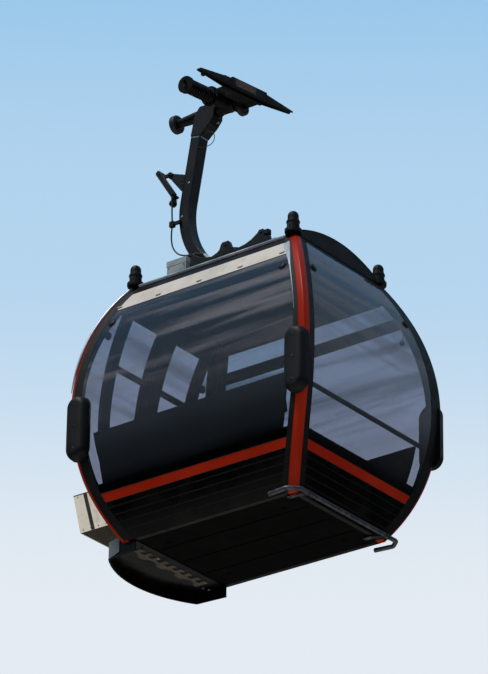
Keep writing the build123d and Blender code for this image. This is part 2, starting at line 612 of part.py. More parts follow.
# piece: face, bottom, top
skin_table = {
    "glass_end_a": ("end_a", glass_low, end_bands["a"]["cover"][0] - bond_gap),
    "glass_end_b": ("end_b", glass_low, end_bands["b"]["cover"][0] - bond_gap),
    "glass_side_a": ("side_a", glass_low, side_glass_high),
    "glass_door_side": ("side_b", glass_low, side_glass_high),
    "top_sheet": ("end_a", *end_bands["a"]["cover"]),
    "vent_pane": ("end_b", *end_bands["b"]["cover"]),
}
for name, (face, low, high) in skin_table.items():
    with BuildPart() as sheet:
        add(panel(face, 0, skin, margin, low, high))
        if face == "side_b":
            add(doorway(door_half, low - 1, high + 1), mode=Mode.SUBTRACT)
    pieces[name] = sheet.part

with BuildPart() as waist_stripes:
    for face in faces:
        add(panel(face, 0, skin, margin, stripe_bottom, stripe_top))
    add(doorway(door_half, stripe_bottom - 1, stripe_top + 1), mode=Mode.SUBTRACT)
pieces["waist_stripes"] = waist_stripes.part

# Floor
with BuildPart() as floor_pan:
    add(barrel(wall_depth + bond_gap, -skirt_drop, floor_top))
    add(corner_posts.part, mode=Mode.SUBTRACT)
pieces["floor_pan"] = floor_pan.part

# Door leaves, each hung from an arm on the roof by a plate let into its top edge, clear of the roof's edge
leaf_near, leaf_far = meeting_gap / 2, door_half - leaf_gap
hanger_half, hanger_past = 27.0, 61.0
hanger_y = half_at(side_profile, post_rise) + hanger_past
hanger_low, leaf_top = mid_z + leaf_glass_high + 1, mid_z + door_high - leaf_gap
tongue_z = roof_z + arm_low + arm_thick + pivot_gap
for name, side in (("left", -1), ("right", 1)):
    leaf_x = sorted((side * leaf_near, side * leaf_far))
    window_x = sorted((side * leaf_window_near, side * leaf_window_far))
    pivot_x = side * (door_pivot_x - door_arm_reach)
    hanger_x = (pivot_x - hanger_half, pivot_x + hanger_half)
    with BuildPart() as strip:
        bar(*leaf_x, door_side_y, reach, mid_z + door_low + leaf_gap, leaf_top)
    with BuildPart() as leaf:
        add(panel("side_b", skin + bond_gap, wall_depth, 0, door_low, door_high))
        add(panel("side_b", 0, wall_depth, 0, door_low, stripe_bottom - 2))
        add(panel("side_b", 0, wall_depth, 0, leaf_glass_high + bond_gap, door_high))
        add(strip.part, mode=Mode.INTERSECT)
        for low, high in leaf_windows:
            bar(*window_x, door_side_y, reach, mid_z + low, mid_z + high, mode=Mode.SUBTRACT)
        bar(hanger_x[0] - bond_gap, hanger_x[1] + bond_gap, hanger_y - bond_gap, reach, hanger_low - bond_gap,
            leaf_top + 1, mode=Mode.SUBTRACT)
    pieces["door_leaf_" + name] = leaf.part
    with BuildPart() as hanger:
        bar(*hanger_x, hanger_y, hanger_y + bracket_thick, hanger_low, tongue_z + bracket_thick)
        bar(*hanger_x, door_pivot_y - hanger_half, hanger_y + 2, tongue_z, tongue_z + bracket_thick)
        rod((pivot_x, door_pivot_y, tongue_z - 1), (pivot_x, door_pivot_y, tongue_z + 2 * bracket_thick),
            door_pin_r + running_gap, mode=Mode.SUBTRACT)
    pieces["door_hanger_" + name] = hanger.part
    with BuildPart() as leaf_glass:
        add(panel("side_b", 0, skin, 0, glass_low, leaf_glass_high))
        add(strip.part, mode=Mode.INTERSECT)
    pieces["door_glass_" + name] = leaf_glass.part
    with BuildPart() as leaf_stripe:
        add(panel("side_b", 0, skin, 0, stripe_bottom, stripe_top))
        add(strip.part, mode=Mode.INTERSECT)
    pieces["door_stripe_" + name] = leaf_stripe.part
    with BuildPart() as door_arm:
        ends = sorted((side * door_pivot_x, pivot_x))
        arm_zs = (roof_z + arm_low, roof_z + arm_low + arm_thick)
        bar(*ends, door_pivot_y - arm_half, door_pivot_y + arm_half, *arm_zs)
        for x in ends:
            rod((x, door_pivot_y, arm_zs[0]), (x, door_pivot_y, arm_zs[1]), arm_half)
        rod((side * door_pivot_x, door_pivot_y, roof_z), (side * door_pivot_x, door_pivot_y, tongue_z),
            door_pin_r + running_gap, mode=Mode.SUBTRACT)
        rod((pivot_x, door_pivot_y, arm_zs[0]), (pivot_x, door_pivot_y, tongue_z + bracket_thick + 4), door_pin_r)
    pieces["door_arm_" + name] = door_arm.part

# Ski boxes on the leaves: open-topped, leaning with the wall, one partition
box_low, box_high, box_sheet = -895.0, -542.0, 5.0
box_near, box_far = 40.0, leaf_far - 24.0
box_depth_low, box_depth_high, box_root = 401.0, 366.0, 60.0
box_parting = 0.62           # partition's place between the leaf and the outer sheet
wall_low_y, wall_high_y = half_at(side_profile, box_low), half_at(side_profile, box_high)
box_outer_low, box_outer_high = wall_low_y + box_depth_low, wall_high_y + box_depth_high
part_low, part_high = wall_low_y + box_parting * box_depth_low, wall_high_y + box_parting * box_depth_high
# cell: near and far side at the bottom, far and near side at the top
ski_cells = [
    (wall_low_y - 2 * box_root, part_low - box_sheet, part_high - box_sheet, wall_high_y - 2 * box_root),
    (part_low, box_outer_low - box_sheet, box_outer_high - box_sheet, part_high),
]
for name, side in (("left", -1), ("right", 1)):
    with BuildPart() as ski_box:
        with BuildSketch(Plane.YZ.offset(side * box_near)):
            with BuildLine():
                Polyline((wall_low_y - box_root, mid_z + box_low), (box_outer_low, mid_z + box_low),
                         (box_outer_high, mid_z + box_high), (wall_high_y - box_root, mid_z + box_high), close=True)
            make_face()
        extrude(amount=side * (box_far - box_near))
        for in_low, out_low, out_high, in_high in ski_cells:
            with BuildSketch(Plane.YZ.offset(side * (box_near + box_sheet))):
                with BuildLine():
                    Polyline((in_low, mid_z + box_low + box_sheet), (out_low, mid_z + box_low + box_sheet),
                             (out_high, mid_z + box_high + 1), (in_high, mid_z + box_high + 1), close=True)
                make_face()
            extrude(amount=side * (box_far - box_near - 2 * box_sheet), mode=Mode.SUBTRACT)
        add(outer_barrel, mode=Mode.SUBTRACT)
    pieces["ski_box_" + name] = ski_box.part

# Tray under the doorway, with its curved apron and the comb, placed from the walls' bottom edge
skirt_y = half_at(side_profile, -skirt_drop)
tray_past, tray_flare = 48.0, 20.0
tray_side, tray_bow, tray_root = 164.0, 339.0, 131.0         # out to the corners and the bow's middle, and in
tray_half = door_half + tray_past
tray_end_y, tray_mid_y, tray_back_y = skirt_y + tray_side, skirt_y + tray_bow, skirt_y - tray_root
apron_drop, apron_rise, apron_sheet, tray_plate = 94.0, 38.0, 8.0, 8.0
apron_low, apron_high = -skirt_drop - apron_drop, -skirt_drop + apron_rise
plate_top = mid_z - skirt_drop - bond_gap


def tray_outline(inset):
    """Closed outline of the tray from above: a bow outwards, straight sides that flare towards the cabin."""
    end_x, end_y = tray_half - inset, tray_end_y - inset
    ThreePointArc((-end_x, end_y), (0, tray_mid_y - inset), (end_x, end_y))
    Polyline((end_x, end_y), (end_x + tray_flare, tray_back_y), (-end_x - tray_flare, tray_back_y), (-end_x, end_y))


# layer: inset, bottom, top, how it joins
tray_layers = [
    (0, mid_z + apron_low, mid_z + apron_high, Mode.ADD),
    (apron_sheet, mid_z + apron_low - 1, mid_z + apron_high + 1, Mode.SUBTRACT),
    (2, plate_top - tray_plate, plate_top, Mode.ADD),
]
with BuildPart() as door_tray:
    for inset, low, high, mode in tray_layers:
        with BuildSketch(Plane.XY.offset(low)):
            with BuildLine():
                tray_outline(inset)
            make_face()
        extrude(amount=high - low, mode=mode)
    add(outer_barrel, mode=Mode.SUBTRACT)
pieces["door_tray"] = door_tray.part

comb_short_a, comb_short_b, comb_root, comb_stand, comb_sheet = 30.0, 150.0, 71.0, 59.0, 6.0
comb_from, comb_to = comb_short_a - tray_half, tray_half - comb_short_b
comb_in, comb_out = skirt_y - comb_root, skirt_y + comb_stand
slot_count, slot_half, slot_depth = 9, 28.0, 62.0
scallop_count, scallop_r, scallop_out = 4, 100.0, 55.0
comb_top = plate_top - tray_plate - bond_gap
with BuildPart() as tray_comb:
    bar(comb_from, comb_to, comb_in, comb_out, comb_top - comb_sheet, comb_top)
    slot_pitch = (comb_to - comb_from) / (slot_count + 0.5)
    for slot in range(slot_count):
        slot_x = comb_from + (slot + 0.75) * slot_pitch
        bar(slot_x - slot_half, slot_x + slot_half, comb_in - 1, comb_in + slot_depth, comb_top - comb_sheet - 1,
            comb_top + 1, mode=Mode.SUBTRACT)
    scallop_pitch = (comb_to - comb_from) / scallop_count
    for scallop in range(scallop_count):
        scallop_x = comb_from + (scallop + 0.5) * scallop_pitch
        rod((scallop_x, comb_out + scallop_out, comb_top - comb_sheet - 1),
            (scallop_x, comb_out + scallop_out, comb_top + 1), scallop_r, mode=Mode.SUBTRACT)
pieces["tray_comb"] = tray_comb.part

# Guide tube under the tower side, bent back at both ends, on two brackets under the walls' bottom edge
skirt_x = half_at(end_profile, -skirt_drop)
tube_r, tube_bend, tube_drop, tube_stand = 19.0, 45.0, 34.0, 114.0
tube_past_a, tube_past_b, tube_tail_a, tube_tail_b = 144.0, 46.0, 151.0, 131.0      # past the ends, and in again
tube_z, tube_y = mid_z - skirt_drop - tube_drop, -skirt_y - tube_stand
tube_from, tube_to = -skirt_x - tube_past_a, skirt_x + tube_past_b
tube_turn, tube_slant, tube_taper = 80.0, 70.0, 20.0
tube_back_a, tube_back_b = tube_tail_a - skirt_y, tube_tail_b - skirt_y
tube_points = [
    (tube_from + tube_taper, tube_back_a), (tube_from, tube_y + tube_turn), (tube_from + tube_slant, tube_y),
    (tube_to - tube_slant, tube_y), (tube_to, tube_y + tube_turn), (tube_to - tube_taper, tube_back_b),
]
bracket_in_a, bracket_in_b, root_edge, root_length = 204.0, 206.0, 11.0, 100.0
bracket_xs = (tube_from + bracket_in_a, tube_to - bracket_in_b)
root_sheet, root_slant = 8.0, 10.0
root_out, root_in = root_edge - skirt_y, root_edge + root_length - skirt_y
with BuildPart() as guide_tube:
    with BuildLine() as tube_path:
        FilletPolyline(*[(x, y, tube_z) for x, y in tube_points], radius=tube_bend)
    tube_start, tube_next = [Vector(x, y, tube_z) for x, y in tube_points[:2]]
    with BuildSketch(Plane(origin=tube_start, z_dir=tube_next - tube_start)):
        Circle(tube_r)
    sweep(path=tube_path.wires()[0])
    for x in bracket_xs:
        with BuildSketch(Plane.YZ.offset(x)):
            with BuildLine():
                Polyline((tube_y, tube_z + 10), (root_out, plate_top), (root_in, plate_top),
                         (root_in, plate_top - root_sheet), (root_out + root_slant, plate_top - root_sheet),
                         (tube_y, tube_z - 12), close=True)
            make_face()
        extrude(amount=12, both=True)
pieces["guide_tube"] = guide_tube.part

# Benches at both ends with their back shells, and separate cushions and backs
seat_top, seat_pad, seat_depth, seat_clear = -650.0, 50.0, 362.0, 18.0
seat_count, seat_gap, pan_sheet, pan_inset, pan_sink = 5, 16.0, 20.0, 20.0, 10.0
back_low, back_high, back_sheet, back_pad, back_rim = -560.0, -255.0, 14.0, 30.0, 8.0
shell_low = seat_top - seat_pad - 15.0
shell_margin, backs_margin = 200.0, 170.0
leg_half, leg_ys, leg_in = 25.0, (-600.0, 0.0, 600.0), 145.0
seat_side_gap = 110.0
seat_half = half_at(side_profile, seat_top) - wall_depth - seat_side_gap
back_plane = wall_depth + bond_gap
pad_plane = back_plane + back_sheet + bond_gap
pan_rear = half_at(end_profile, seat_top - seat_pad) - back_plane - pan_sink
seat_rear = pan_rear - seat_clear
seat_front = seat_rear - seat_depth
pitch_y = 2 * seat_half / seat_count
pan_top = mid_z + seat_top - seat_pad - bond_gap
back_cut = (mid_z + back_low - back_rim, mid_z + back_high + back_rim)
for name, side in (("a", -1), ("b", 1)):
    with BuildPart() as bench:
        pan_x = sorted((side * (seat_front + pan_inset), side * pan_rear))
        bar(*pan_x, -seat_half, seat_half, pan_top - pan_sheet, pan_top)
        leg_x = side * (seat_front + leg_in)
        for leg_y in leg_ys:
            bar(leg_x - leg_half, leg_x + leg_half, leg_y - leg_half, leg_y + leg_half,
                mid_z + floor_top + bond_gap, pan_top - pan_sheet + 1)
        add(panel("end_" + name, back_plane, back_plane + back_sheet, shell_margin, shell_low, back_high + back_rim))
    pieces["bench_" + name] = bench.part
    with BuildPart() as cushions:
        for seat in range(seat_count):
            y = -seat_half + (seat + 0.5) * pitch_y
            with Locations((side * (seat_front + seat_rear) / 2, y, pan_top + bond_gap + seat_pad / 2)):
                Box(seat_depth, pitch_y - seat_gap, seat_pad)
    pieces["seats_" + name] = cushions.part
    with BuildPart() as backs:
        add(panel("end_" + name, pad_plane, pad_plane + back_pad, backs_margin, back_low, back_high))
        for gap in range(seat_count + 1):
            y = -seat_half + gap * pitch_y
            bar(-reach, reach, y - seat_gap / 2, y + seat_gap / 2, *back_cut, mode=Mode.SUBTRACT)
        bar(-reach, reach, seat_half, reach, *back_cut, mode=Mode.SUBTRACT)
        bar(-reach, reach, -reach, -seat_half, *back_cut, mode=Mode.SUBTRACT)
    pieces["seat_backs_" + name] = backs.part

# Handrail across the tower-side window
grab_r, grab_z, grab_stand, grab_post_r, grab_post_in = 20.0, -290.0, 74.0, 12.0, 21.0
grab_y = -(half_at(side_profile, grab_z) - wall_depth - grab_stand)
grab_short = 36.0
grab_half = half_at(end_profile, grab_z) - wall_depth - grab_short
with BuildPart() as grab_rail:
    rod((-grab_half, grab_y, mid_z + grab_z), (grab_half, grab_y, mid_z + grab_z), grab_r)
    wall_y = -(half_at(side_profile, grab_z - grab_post_r) - wall_depth - bond_gap)
    for x in (grab_post_in - grab_half, grab_half - grab_post_in):
        rod((x, grab_y, mid_z + grab_z), (x, wall_y, mid_z + grab_z), grab_post_r)
pieces["grab_rail"] = grab_rail.part

for name, piece in pieces.items():
    piece.label = name
    export_step(piece, f"parts/{name}.step")
print(len(pieces), "pieces")
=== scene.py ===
"""Cable car cabin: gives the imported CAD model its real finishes, trim, fasteners, fittings and padding.

Metres, in the CAD model's frame: the origin is on the axis of the grip's jaws, in the hanger arm's plane. +X
runs along the jaws, +Y points to the doors, +Z is up. Heights on the cabin count from its mid-height, mid_z.
"""

import bmesh
import bpy
import numpy as np
from mathutils import Matrix, Vector


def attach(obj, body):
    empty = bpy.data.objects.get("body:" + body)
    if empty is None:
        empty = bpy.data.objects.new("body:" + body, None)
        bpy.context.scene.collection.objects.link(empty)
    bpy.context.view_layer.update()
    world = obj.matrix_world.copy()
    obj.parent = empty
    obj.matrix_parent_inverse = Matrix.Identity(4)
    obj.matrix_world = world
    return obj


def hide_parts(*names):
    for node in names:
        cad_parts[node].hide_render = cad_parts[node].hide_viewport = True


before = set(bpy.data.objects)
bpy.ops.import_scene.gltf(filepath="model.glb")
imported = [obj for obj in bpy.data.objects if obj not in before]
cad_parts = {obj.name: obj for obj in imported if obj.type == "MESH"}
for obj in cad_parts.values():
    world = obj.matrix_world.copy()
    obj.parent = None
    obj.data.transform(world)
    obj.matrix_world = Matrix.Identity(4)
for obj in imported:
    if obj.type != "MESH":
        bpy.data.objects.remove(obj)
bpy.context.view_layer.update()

# Camera: just above the floor and 34 m away, looking up at the cabin with a long lens. Its place and turn
# come from fitting the cabin's own outline.
camera = bpy.data.objects.new("camera", bpy.data.cameras.new("camera"))
camera.data.lens, camera.data.sensor_width, camera.data.clip_end = 224.5, 36.0, 600.0
camera_place = Vector((-24.7168, -19.0081, -17.5760))
camera_right, camera_up = Vector((0.607676, -0.794103, 0.011406)), Vector((-0.356593, -0.259990, 0.897355))
camera_turn = Matrix((camera_right, camera_up, camera_right.cross(camera_up))).transposed()
camera.matrix_world = Matrix.Translation(camera_place) @ camera_turn.to_4x4()
bpy.context.collection.objects.link(camera)
bpy.context.scene.camera = camera
bpy.context.scene.view_settings.view_transform = "Standard"


# Light: an even pale light from all round, and one wide soft lamp from high up on the left. The eye sees a
# soft pale blue backdrop; gloss sees a dimmer one, dark below the horizon, as open ground is.
def paint(code):
    """Linear colour of an sRGB hex code: below the foot a straight part, above it the 2.4 power."""
    parts = np.array([int(code[i:i + 2], 16) for i in (1, 3, 5)]) / 255
    linear = np.where(parts <= 0.04045, parts / 12.92, ((parts + 0.055) / 1.055) ** 2.4)
    return (*linear.tolist(), 1.0)


def add_node(tree, kind, settings=None, links=None, stops=()):
    """Adds one node: settings are input sockets by name or number, else properties; links feed its inputs.

    stops are the (place, hex or grey) pairs of a colour ramp, which eases from each one to the next.
    """
    made = tree.nodes.new(kind)
    for name, value in (settings or {}).items():
        if isinstance(name, int) or name in made.inputs:
            made.inputs[name].default_value = value
        else:
            setattr(made, name, value)
    for name, source in (links or {}).items():
        tree.links.new(source, made.inputs[name])
    if stops:
        made.color_ramp.interpolation = "EASE"
        steps = made.color_ramp.elements
        for _ in stops[2:]:
            steps.new(0.5)
        for step, (place, colour) in zip(steps, stops):
            step.position = place
            step.color = paint(colour) if isinstance(colour, str) else (colour, colour, colour, 1)
    return made


world = bpy.data.worlds.new("daylight")
bpy.context.scene.world = world
world.use_nodes = True
sky = world.node_tree
sky.nodes.clear()
sky_turn = add_node(sky, "ShaderNodeTexCoord").outputs["Generated"]
sky_height = add_node(sky, "ShaderNodeSeparateXYZ", links={"Vector": sky_turn}).outputs["Z"]
sky_seen = add_node(sky, "ShaderNodeValToRGB", links={"Fac": sky_height}, stops=[
    (0.0, "#e9edef"), (0.38, "#e4ebf2"), (0.46, "#b4d4ee"), (0.56, "#7ebbe7")])
sky_light = add_node(sky, "ShaderNodeBackground", {"Color": paint("#e8eef6"), "Strength": 0.36})
sky_shown = add_node(sky, "ShaderNodeBackground", {"Strength": 1.0}, {"Color": sky_seen.outputs[0]})
turned_height = add_node(sky, "ShaderNodeMapRange", {"From Min": -1.0, "From Max": 1.0},
                         {"Value": sky_height})
sky_mirrored = add_node(sky, "ShaderNodeValToRGB", links={"Fac": turned_height.outputs[0]}, stops=[
    (0.46, "#0a0b0d"), (0.56, "#4d555c"), (0.70, "#8c9dad"), (0.90, "#5f86a8")])
sky_gloss = add_node(sky, "ShaderNodeBackground", {"Strength": 1.0}, {"Color": sky_mirrored.outputs[0]})
# A ray that bounced inside the cabin before it passed the glass meets the even light, not the backdrop.
rays = add_node(sky, "ShaderNodeLightPath").outputs
bounced = add_node(sky, "ShaderNodeMath", {"operation": "ADD", "use_clamp": True},
                   {0: rays["Diffuse Depth"], 1: rays["Glossy Depth"]})
straight = add_node(sky, "ShaderNodeMath", {"operation": "SUBTRACT", 0: 1.0}, {1: bounced.outputs[0]})
seen = add_node(sky, "ShaderNodeMath", {"operation": "MULTIPLY_ADD", "use_clamp": True},
                {0: rays["Is Transmission Ray"], 1: straight.outputs[0], 2: rays["Is Camera Ray"]})
sky_unseen = add_node(sky, "ShaderNodeMixShader",
                      links={0: rays["Is Glossy Ray"], 1: sky_light.outputs[0], 2: sky_gloss.outputs[0]})
sky_mix = add_node(sky, "ShaderNodeMixShader",
                   links={0: seen.outputs[0], 1: sky_unseen.outputs[0], 2: sky_shown.outputs[0]})
add_node(sky, "ShaderNodeOutputWorld", links={"Surface": sky_mix.outputs[0]})

lamp = bpy.data.objects.new("lamp", bpy.data.lights.new("lamp", "SUN"))
lamp.data.energy, lamp.data.angle, lamp.data.color = 1.9, 0.35, (1.0, 0.96, 0.9)
lamp.rotation_mode = "QUATERNION"
lamp.rotation_quaternion = Vector((0.46, -0.20, -0.86)).to_track_quat("-Z", "Y")
bpy.context.collection.objects.link(lamp)


# Floor: one flat sheet of pale matt board just under the camera, part of the studio and not of the cabin.
# It is wide enough to lie under the cabin in the views from above.
def start_material(name):
    """New material with an empty node tree: returns the tree and its object coordinates in metres."""
    made = bpy.data.materials.new(name)
    made.use_nodes = True
    made.node_tree.nodes.clear()
    return made.node_tree, add_node(made.node_tree, "ShaderNodeTexCoord").outputs["Object"]


def finish(name, tones, patch_mm, rough, grain_mm, grain_um, stretch=(1, 1, 1), grime=None, gloss=0.5,
           **shader):
    """Finish made of soft patches between two tones, roughness that follows them, and fine grain in the bump.

    patch_mm and grain_mm are the patterns' sizes, grain_um is the grain's height, and stretch draws them out
    along each axis, as brushing and rain do. grime is a hex colour, its share and its patches' size. gloss
    is the specular level, and the rest goes to the shader's sockets by name.
    """
    tree, place = start_material(name)
    drawn = add_node(tree, "ShaderNodeMapping", {"Scale": [1 / s for s in stretch]}, {"Vector": place})
    patches = add_node(tree, "ShaderNodeTexNoise", {"Scale": 1000 / patch_mm, "Detail": 4.0},
                       {"Vector": drawn.outputs[0]})
    grain = add_node(tree, "ShaderNodeTexNoise", {"Scale": 1000 / grain_mm, "Detail": 2.0},
                     {"Vector": drawn.outputs[0]})
    colour = add_node(tree, "ShaderNodeValToRGB", links={"Fac": patches.outputs["Fac"]},
                      stops=[(0.32, tones[0]), (0.68, tones[1])]).outputs[0]
    dull = add_node(tree, "ShaderNodeValToRGB", links={"Fac": patches.outputs["Fac"]},
                    stops=[(0.3, rough[0]), (0.7, rough[1])]).outputs[0]
    if grime:
        soil_tone, soil_share, soil_mm = grime
        soil = add_node(tree, "ShaderNodeTexNoise", {"Scale": 1000 / soil_mm, "Detail": 6.0},
                        {"Vector": place})
        share = add_node(tree, "ShaderNodeValToRGB", links={"Fac": soil.outputs["Fac"]},
                         stops=[(0.5, 0.0), (0.72, soil_share)]).outputs[0]
        colour = add_node(tree, "ShaderNodeMix", {"data_type": "RGBA", 7: paint(soil_tone)},
                          {0: share, 6: colour}).outputs[2]
        dull = add_node(tree, "ShaderNodeMix", {"data_type": "RGBA", 7: (0.8, 0.8, 0.8, 1)},
                        {0: share, 6: dull}).outputs[2]
    bump = add_node(tree, "ShaderNodeBump", {"Strength": 1.0, "Distance": grain_um * 1e-6},
                    {"Height": grain.outputs["Fac"]})
    surface = add_node(tree, "ShaderNodeBsdfPrincipled", {"Specular IOR Level": gloss, **shader},
                       {"Base Color": colour, "Roughness": dull, "Normal": bump.outputs[0]})
    add_node(tree, "ShaderNodeOutputMaterial", links={"Surface": surface.outputs[0]})
    return bpy.data.materials[name]


floor_z, floor_half = -17.9, 24.0
floor_signs = ((-1, -1), (1, -1), (1, 1), (-1, 1))
floor_mesh = bpy.data.meshes.new("studio_floor")
floor_mesh.from_pydata([(x * floor_half, y * floor_half, floor_z) for x, y in floor_signs], [],
                       [(0, 1, 2, 3)])
floor_mesh.materials.append(finish("pale_matt_floor", ("#cccac5", "#d4d2ce"), 2000, (0.8, 0.9), 20, 50))
studio_floor = bpy.data.objects.new("studio_floor", floor_mesh)
bpy.context.collection.objects.link(studio_floor)


# Grip: forged and cast steel, black from years of grease. Its fixings are zinc-plated and dulled by the same
# grease. Flange, ribs and stop belong to the castings; a bronze-brown plate takes the wear on the jaw.
def coat(material, *nodes):
    """Gives CAD nodes a finish."""
    for node in nodes:
        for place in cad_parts[node].material_slots:
            place.material = material


# Shapes are (points, faces) pairs, worked out as whole arrays and put together into one piece.
def woven(points, close_rows=False, close_columns=True):
    """Four-cornered faces over a grid of points, joined round in each direction that closes."""
    rows, columns = points.shape[:2]
    index = np.arange(rows * columns).reshape(rows, columns)
    if close_rows:
        index = np.vstack([index, index[:1]])
    if close_columns:
        index = np.hstack([index, index[:, :1]])
    corners = (index[:-1, :-1], index[:-1, 1:], index[1:, 1:], index[1:, :-1])
    return points.reshape(-1, 3), np.stack(corners, -1).reshape(-1, 4)


def turned(profile, base, axis, steps=20):
    """Solid of revolution: each (radius, height) of the profile is a ring round the axis, from r 0 to r 0."""
    profile, axis = np.array(profile, float), np.array(axis, float) / np.linalg.norm(axis)
    side = np.cross(axis, (0.0, 0.0, 1.0) if abs(axis[2]) < 0.9 else (1.0, 0.0, 0.0))
    side /= np.linalg.norm(side)
    angle = np.arange(steps) * 2 * np.pi / steps
    ring = np.cos(angle)[:, None] * side + np.sin(angle)[:, None] * np.cross(axis, side)
    return woven(np.array(base) + profile[:, 1, None, None] * axis + profile[:, 0, None, None] * ring)


def carried(section, path, up=(0.0, 0.0, 1.0), closed=False, swell=1.0):
    """Profile carried along a path, square to it, its second direction towards up; open ends are closed.

    swell is the section's scale, one number or one for each point of the path.
    """
    path, section = np.array(path, float), np.array(section, float)
    course = np.roll(path, -1, 0) - np.roll(path, 1, 0) if closed else np.gradient(path, axis=0)
    course /= np.linalg.norm(course, axis=1)[:, None]
    across = np.cross(course, up)
    across /= np.linalg.norm(across, axis=1)[:, None]
    rise = np.cross(across, course)
    rings = section[:, 0, None] * across[:, None] + section[:, 1, None] * rise[:, None]
    rings = path[:, None] + rings * np.broadcast_to(swell, len(path))[:, None, None]
    if not closed:
        ends = [np.repeat(path[end][None, None], len(section), 1) for end in (0, -1)]
        rings = np.concatenate([ends[0], rings, ends[1]])
    return woven(rings, close_rows=closed)


def bar(radius, path, steps=8, **how):
    """Round bar, bead or wire: the points of a circle, carried along a path."""
    angle = np.arange(steps) * 2 * np.pi / steps
    return carried(np.stack([np.cos(angle), np.sin(angle)], -1) * radius, path, **how)


def prism(outline, origin, u, v, depth):
    """Flat outline in the directions u and v, given a thickness along the third."""
    outline, u, v = (np.array(part, float) for part in (outline, u, v))
    flat = np.array(origin) + outline[:, :1] * u + outline[:, 1:] * v
    count = len(outline)
    here, after = np.arange(count), (np.arange(count) + 1) % count
    walls = np.stack([here, after, after + count, here + count], -1).tolist()
    lids = [here[::-1].tolist(), (here + count).tolist()]
    return np.vstack([flat, flat + np.cross(u, v) * depth]), walls + lids


def block(x0, x1, y0, y1, z0, z1):
    """Box between two corners; its edges are rounded by the piece's bevel."""
    outline = [(0, 0), (x1 - x0, 0), (x1 - x0, y1 - y0), (0, y1 - y0)]
    return prism(outline, (x0, y0, z0), (1, 0, 0), (0, 1, 0), z1 - z0)


def bolts(places, axis, across):
    """Hexagon heads on round washers, standing out along the axis."""
    tall, wide = 0.33 * across, 0.625 * across
    disc = [(0, -0.002), (wide, -0.002), (wide, 0.15 * tall), (wide * 0.97, 0.25 * tall), (0, 0.25 * tall)]
    head = [(0, 0.2 * tall), (0.5 * across, 0.2 * tall), (0.5 * across, 1.1 * tall),
            (0.42 * across, 1.25 * tall), (0, 1.25 * tall)]
    return [turned(profile, place, axis, steps) for place in places
            for profile, steps in ((disc, 14), (head, 6))]


def circle(count, radius, centre, u, v, start=0.0):
    """Places spread evenly round a circle in the directions u and v."""
    angle = start + np.arange(count) * 2 * np.pi / count
    return np.array(centre) + radius * (np.outer(np.cos(angle), u) + np.outer(np.sin(angle), v))


def piece(name, shapes, material, body, bevel=0.0, crease=35):
    """One object at the origin made of all the shapes, riding on a body; bevel is its edges' radius.

    Edges sharper than crease, in degrees, stay sharp in the shading.
    """
    points, faces, start = [], [], 0
    for shape_points, shape_faces in shapes:
        points.append(shape_points)
        faces += [[int(corner) + start for corner in face] for face in shape_faces]
        start += len(shape_points)
    mesh = bpy.data.meshes.new(name)
    mesh.from_pydata(np.vstack(points), [], faces)
    shell = bmesh.new()
    shell.from_mesh(mesh)
    bmesh.ops.remove_doubles(shell, verts=shell.verts, dist=1e-6)
    bmesh.ops.recalc_face_normals(shell, faces=shell.faces)
    shell.to_mesh(mesh)
    shell.free()
    mesh.polygons.foreach_set("use_smooth", np.ones(len(mesh.polygons), bool))
    mesh.set_sharp_from_angle(angle=np.radians(crease))
    mesh.materials.append(material)
    made = bpy.data.objects.new(name, mesh)
    bpy.context.collection.objects.link(made)
    if bevel:
        soft = made.modifiers.new("soft edges", "BEVEL")
        soft.width, soft.segments, soft.limit_method, soft.angle_limit = bevel, 2, "ANGLE", np.radians(40)
    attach(made, body)
    return made


grip_slope = np.radians(7.0)


def climbing(shapes):
    """Shapes drawn with the grip level, turned to the slope at which it climbs."""
    cosine, sine = np.cos(grip_slope), np.sin(grip_slope)
    turn = np.array([[cosine, 0, -sine], [0, 1, 0], [sine, 0, cosine]])
    return [(points @ turn.T, faces) for points, faces in shapes]


left, right, ahead, behind = (-1, 0, 0), (1, 0, 0), (0, 1, 0), (0, -1, 0)
upward, downward = (0, 0, 1), (0, 0, -1)
cast_steel = finish("greased_cast_steel", ("#060708", "#101113"), 90, (0.40, 0.62), 6, 400,
                    grime=("#17120d", 0.5, 60), gloss=0.3, Metallic=0.4)
zinc_fixing = finish("dulled_zinc_plate", ("#2c2e31", "#46484c"), 12, (0.35, 0.5), 2, 40,
                     grime=("#201d1a", 0.6, 20), Metallic=0.9)
coat(cast_steel, "grip_body", "grip_jaw", "grip_noses", "spring_seats", "shaft_collars")
swing_y, swing_level = (0.240, 0.428), 0.045
castings = [
    turned([(0, 0), (0.076, 0), (0.078, 0.002), (0.078, 0.010), (0.075, 0.012), (0, 0.012)],
           (0, swing_y[0], swing_level), ahead, 40),
    turned([(0, 0), (0.066, 0), (0.068, 0.002), (0.068, 0.012), (0.062, 0.016), (0, 0.016)],
           (0, swing_y[1] - 0.018, swing_level), ahead, 40),
    *[prism([(0.138, 0.072), (0.236, 0.072), (0.138, -0.004)], (x, 0, 0), ahead, upward, 0.014)
      for x in (-0.150, -0.070)],
    block(-0.738, -0.706, 0.018, 0.052, 0.008, 0.036),
    block(-0.430, -0.400, 0.052, 0.060, -0.010, 0.034),
    block(0.030, 0.062, 0.052, 0.060, -0.010, 0.034),
]
piece("grip_casting_details", climbing(castings), cast_steel, "grip", bevel=0.003)
